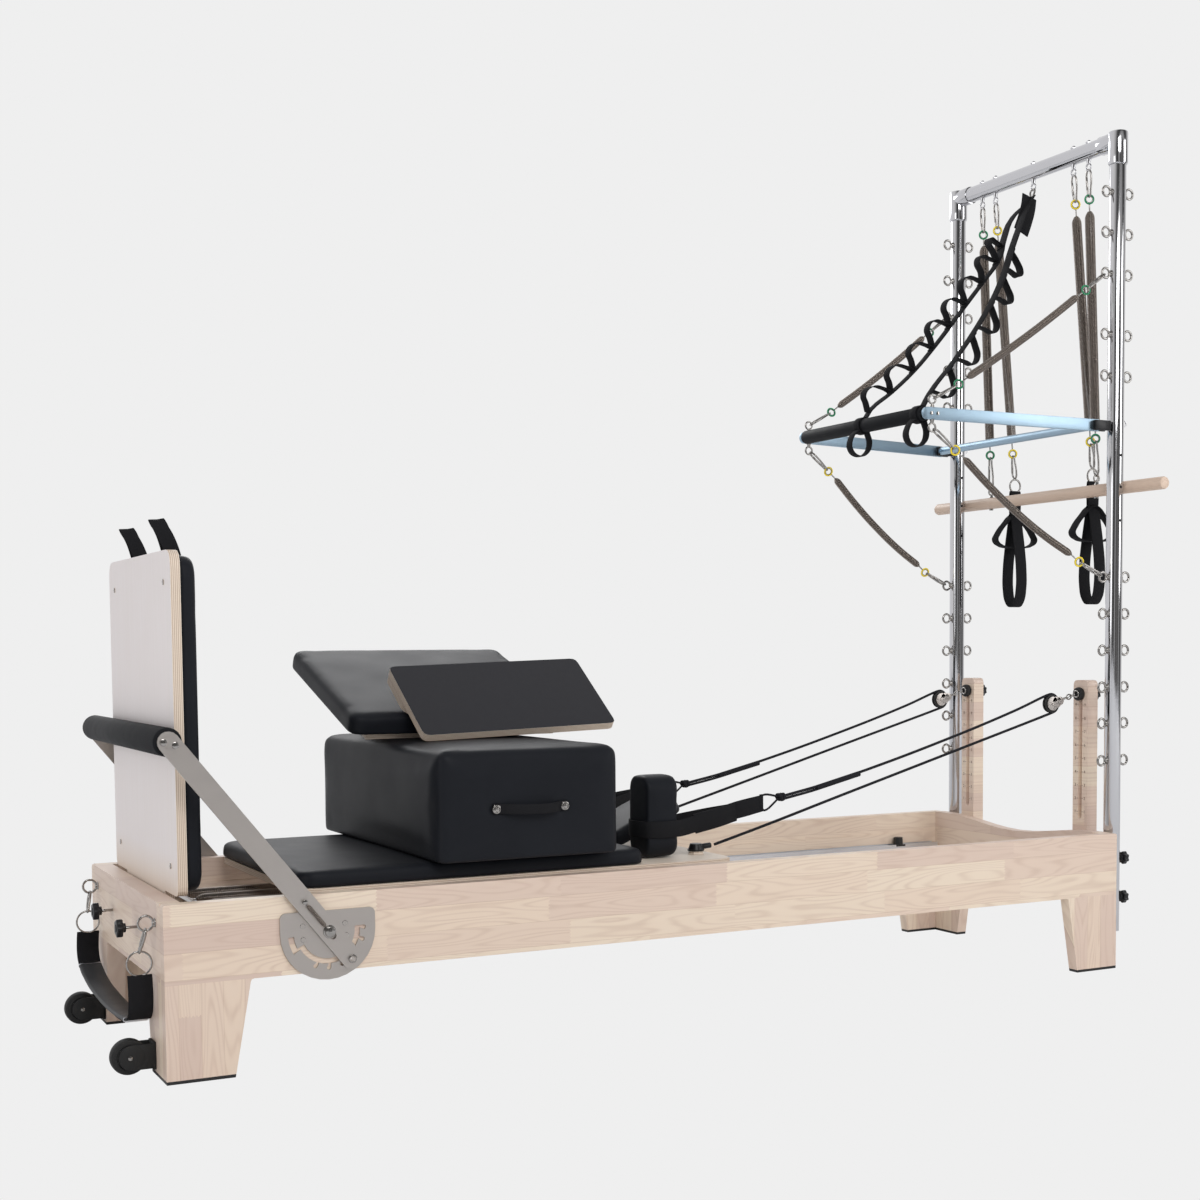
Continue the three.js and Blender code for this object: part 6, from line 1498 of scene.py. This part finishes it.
for side, name in both_sides:
    bolt = joined(f"foot_bar_bolt_{name}", [
        bar(on_arm(0, side * 384.2), on_arm(0, side * 386), 13, 32, 0.6),
        bar(on_arm(0, side * 386), on_arm(0, side * 391.6), 10.4, 32, 2),
        bar(on_arm(0, side * 391), on_arm(0, side * 392.2), 4, 6, 0.3)])
    fit_on(bolt, "foot_bar_pivots", zinc, f"footbar_pivot_{name}")
    spring = coil([on_arm(reach, side * 388.6) for reach in (14, 44, 72)], 4.2, 1.3)[0]
    spring.name = f"foot_bar_spring_{name}"
    spring.data.materials.append(spring_wire)
    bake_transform(spring)
    pins = joined(f"foot_bar_pins_{name}", [
        bar(on_arm(80.2, side * 383), on_arm(80.2, side * 391.6), 5.2, 24, 1),
        bar(on_arm(-74.4, side * 383), on_arm(-74.4, side * 389), 8.6, 28, 1.6),
        bar(on_arm(496, side * 383.4) + by(-7, 0, -3), on_arm(496, side * 387.4) + by(-7, 0, -3), 7, 28, 1.6),
        bar(on_arm(482, side * 383.4) + by(6, 0, 2), on_arm(482, side * 387.4) + by(6, 0, 2), 7, 28, 1.6)])
    fit_on(pins, "foot_bar", zinc)
    y = side * 220
    cleat = joined(f"rope_cleat_{name}", [
        bar(at(1250, y, 359.3), at(1250, y, 363.2), 19.6, 40, 1.2),
        cone(at(1250, y, 360), at(1250, y, 376), 19, 13.8, 40),
        bar(at(1250, y, 367), at(1289, y, 370), 6.5, 24, 1.4)])
    fit_on(cleat, "carriage", plastic)
foot_roll = joined("foot_bar_roller", [bar(on_arm(491.8, -375), on_arm(491.8, 375), 28, 56, 4)])
fit_on(foot_roll, "foot_bar", foam, "footbar_grip")

spring_foot, spring_head, spring_z = 160, 408, 294.3
bed_springs, bed_hooks = [], []
for y in (-135, -45, 45, 135):
    bed_springs.append(coil([at(x, y, spring_z) for x in (spring_foot, 230, 320, spring_head)], 12.4, 4.2)[0])
    for low, high in ((134, 166), (402, 432)):
        bed_hooks.append(bar(at(low, y, spring_z), at(high, y, spring_z), 2.4, 12, 0.4))
springs = joined("bed_springs", bed_springs)
dress(springs, spring_wire)
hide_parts("carriage_springs")
hooks = joined("bed_spring_hooks", bed_hooks)
dress(hooks, zinc)
for piece in (springs, hooks):
    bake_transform(piece)
print("springs under the carriage:", len(bed_springs))

plate_face, head_height, socket_height = 375.6, 1.3, 1.45
plate_screws = []
for side in (-1, 1):
    for x, z in ((-52, 13.6), (-51.3, -13.4), (34.4, 13.6), (37.2, -10.9)):
        seat = at(bar_pivot_x + x, side * plate_face, bar_pivot_z + z)
        plate_screws.append(bar(seat, seat + by(0, side * head_height, 0), 5.4, 24, 0.5))
        plate_screws.append(bar(seat, seat + by(0, side * socket_height, 0), 1.9, 6, 0.1))
fit_on(joined("plate_screws", plate_screws), "frame", zinc)
print("screws of the plates:", 8)

# %% [markdown]
# The standing platform is two thicknesses of plywood with a black non-slip face. Its rear board
# covers the upper part only and has rounded corners, and a cleat runs along the lower edge.

# %% Rear board of the platform
platform_middle = at(855, -124, 636.2)
platform_turn = Euler((0.6655, -0.03, 0.05)).to_matrix()
platform_way = platform_turn @ Vector((0, 0, 1))
platform_low = platform_middle.dot(platform_way) - 18 * mm
platform_ply = plywood_finish("platform_ply", tuple(platform_way), platform_low,
                              dark_face_from=platform_low + 35.4 * mm).material
rear_length, rear_width, rear_thick = 478.4, 143, 18.2
rear_middle, rear_corner = 168, 14
rear_edge = rear_middle - rear_width / 2
bpy.ops.mesh.primitive_cube_add(size=1, location=at(0, rear_middle, -8.8))
rear_board = bpy.context.object
rear_board.scale = by(rear_length, rear_width, rear_thick)
settle(rear_board)
ease(rear_board, rear_corner, 6, lambda line: abs(line.verts[0].co.z - line.verts[1].co.z) > 0.01)
for vertex in rear_board.data.vertices:
    past_end = abs(vertex.co.x - foot_middle.x) - rear_length / 2 * mm
    if vertex.co.y < (rear_edge + 20) * mm:
        vertex.co.y += max(0, past_end + 30 * mm) * 0.9
cleat = block((-226, 30, -20), (226, 62, 0.2), 1.2)
rear = joined("platform_rear", [rear_board, cleat])
rear.matrix_world = (Matrix.Translation(platform_middle) @ platform_turn.to_4x4()
                     @ Matrix.Translation(-foot_middle))
settle(rear)
smooth(rear, 30)
fit_on(rear, "standing_platform", platform_ply)
print("platform boards:", 2)

# %% [markdown]
# The solids whose shape is right stay as they are and only get their finish.

# %% Finishes of the solids that stay
panel_ply = plywood_finish("panel_ply", (1, 0, 0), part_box("jump_board_panel")[0].x,
                           (0.86, 0.80, 0.79), foot_face=(0.80, 0.64, 0.45)).material
board_ply = plywood_finish("board_ply", (0, 0, 1), 0.337).material
finishes = {
    "side_frame_near": plank_wood, "side_frame_far": plank_wood_far, "foot_end_rail": end_wood,
    "head_end_rail": end_wood, "riser_near": riser_wood, "riser_far": riser_wood,
    "jump_board_panel": panel_ply, "carriage_board": board_ply, "standing_platform": platform_ply,
    "ratchet_plate_near": brushed, "ratchet_plate_far": brushed, "footbar_arms": brushed,
    "spring_bar": zinc, "carriage_wheels_foot": plastic, "carriage_wheels_head": plastic,
}
for name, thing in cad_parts.items():
    if not thing.hide_render:
        dress(thing, finishes[name])
print("solids that show:", len(finishes))

# %% [markdown]
# The floor is plain and pale, and so is what lies behind it. Its brightness towards the camera
# comes from its own colour, so that it stays even while the lamps shape the object.

# %% Floor, world and lamps
backdrop = (0.863, 0.863, 0.863, 1)


def studio_floor():
    bpy.ops.mesh.primitive_plane_add(size=9, location=by(0, 0, -0.5))
    floor = bpy.context.object
    floor.name = "floor"
    card = Finish("studio_floor", (0.86, 0.86, 0.86), 0.9)
    seen = card.node("ShaderNodeLightPath", {}, {}, "Is Camera Ray")
    glow = card.node("ShaderNodeEmission", {}, {"Color": backdrop})
    lit = Flow(card, card.skin.outputs[0])
    shown = card.node("ShaderNodeMixShader", {}, {0: seen, 1: lit, 2: glow})
    card.fill(card.nodes["Material Output"].inputs["Surface"], shown)
    floor.data.materials.append(card.material)


def studio_world():
    """A plain backdrop for the camera, soft light, and bands of light and dark for what mirrors it."""
    world = bpy.data.worlds.new("studio")
    bpy.context.scene.world = world
    world.use_nodes = True
    sky = Tree(world.node_tree)
    soft = sky.nodes["Background"]
    sky.fill(soft.inputs["Color"], (0.86, 0.87, 0.9, 1))
    sky.fill(soft.inputs["Strength"], 0.62)
    seen_way = sky.parts(sky.node("ShaderNodeNewGeometry", {}, {}, "Incoming"))[1]
    greys = ((0.42, 0.85), (0.60, 0.55), (0.74, 0.10), (0.86, 0.05), (0.93, 0.5), (0.96, 0.08))
    bands = [(place, (grey, grey * 0.99, grey * 0.98)) for place, grey in greys]
    stops = [(0.0, (0.9, 0.9, 0.92)), *bands, (1.0, (0.16, 0.155, 0.15))]
    mirrored = sky.node("ShaderNodeBackground", {}, {"Color": sky.ramp(seen_way * 0.5 + 0.5, stops)})
    plain = sky.node("ShaderNodeBackground", {}, {"Color": backdrop})
    glossy = sky.node("ShaderNodeLightPath", {}, {}, "Is Glossy Ray")
    seen = sky.node("ShaderNodeLightPath", {}, {}, "Is Camera Ray")
    light = sky.node("ShaderNodeMixShader", {}, {0: glossy, 1: Flow(sky, soft.outputs[0]), 2: mirrored})
    shown = sky.node("ShaderNodeMixShader", {}, {0: seen, 1: light, 2: plain})
    sky.fill(sky.nodes["World Output"].inputs["Surface"], shown)


def lamp(name, place, target, size, energy):
    light = bpy.data.lights.new(name, "AREA")
    light.shape = "RECTANGLE"
    light.size, light.size_y = size
    light.energy = energy
    thing = bpy.data.objects.new(name, light)
    bpy.context.scene.collection.objects.link(thing)
    thing.location = place
    thing.rotation_euler = (Vector(target) - Vector(place)).to_track_quat("-Z", "Y").to_euler()


studio_floor()
studio_world()
lamp("key", (-1.0, -4.6, 3.6), (0.3, 0, 0.6), (2.6, 2.0), 92)
lamp("fill", (3.4, -3.2, 2.2), (0.4, 0, 0.9), (1.4, 2.6), 42)
lamp("end", (-4.4, -1.0, 1.3), (-1.2, 0, 0.7), (2.0, 1.8), 18)
lamp("rim", (0.4, 4.2, 3.2), (0.2, 0, 0.8), (3.0, 1.4), 60)
bpy.context.scene.view_settings.view_transform = "Standard"
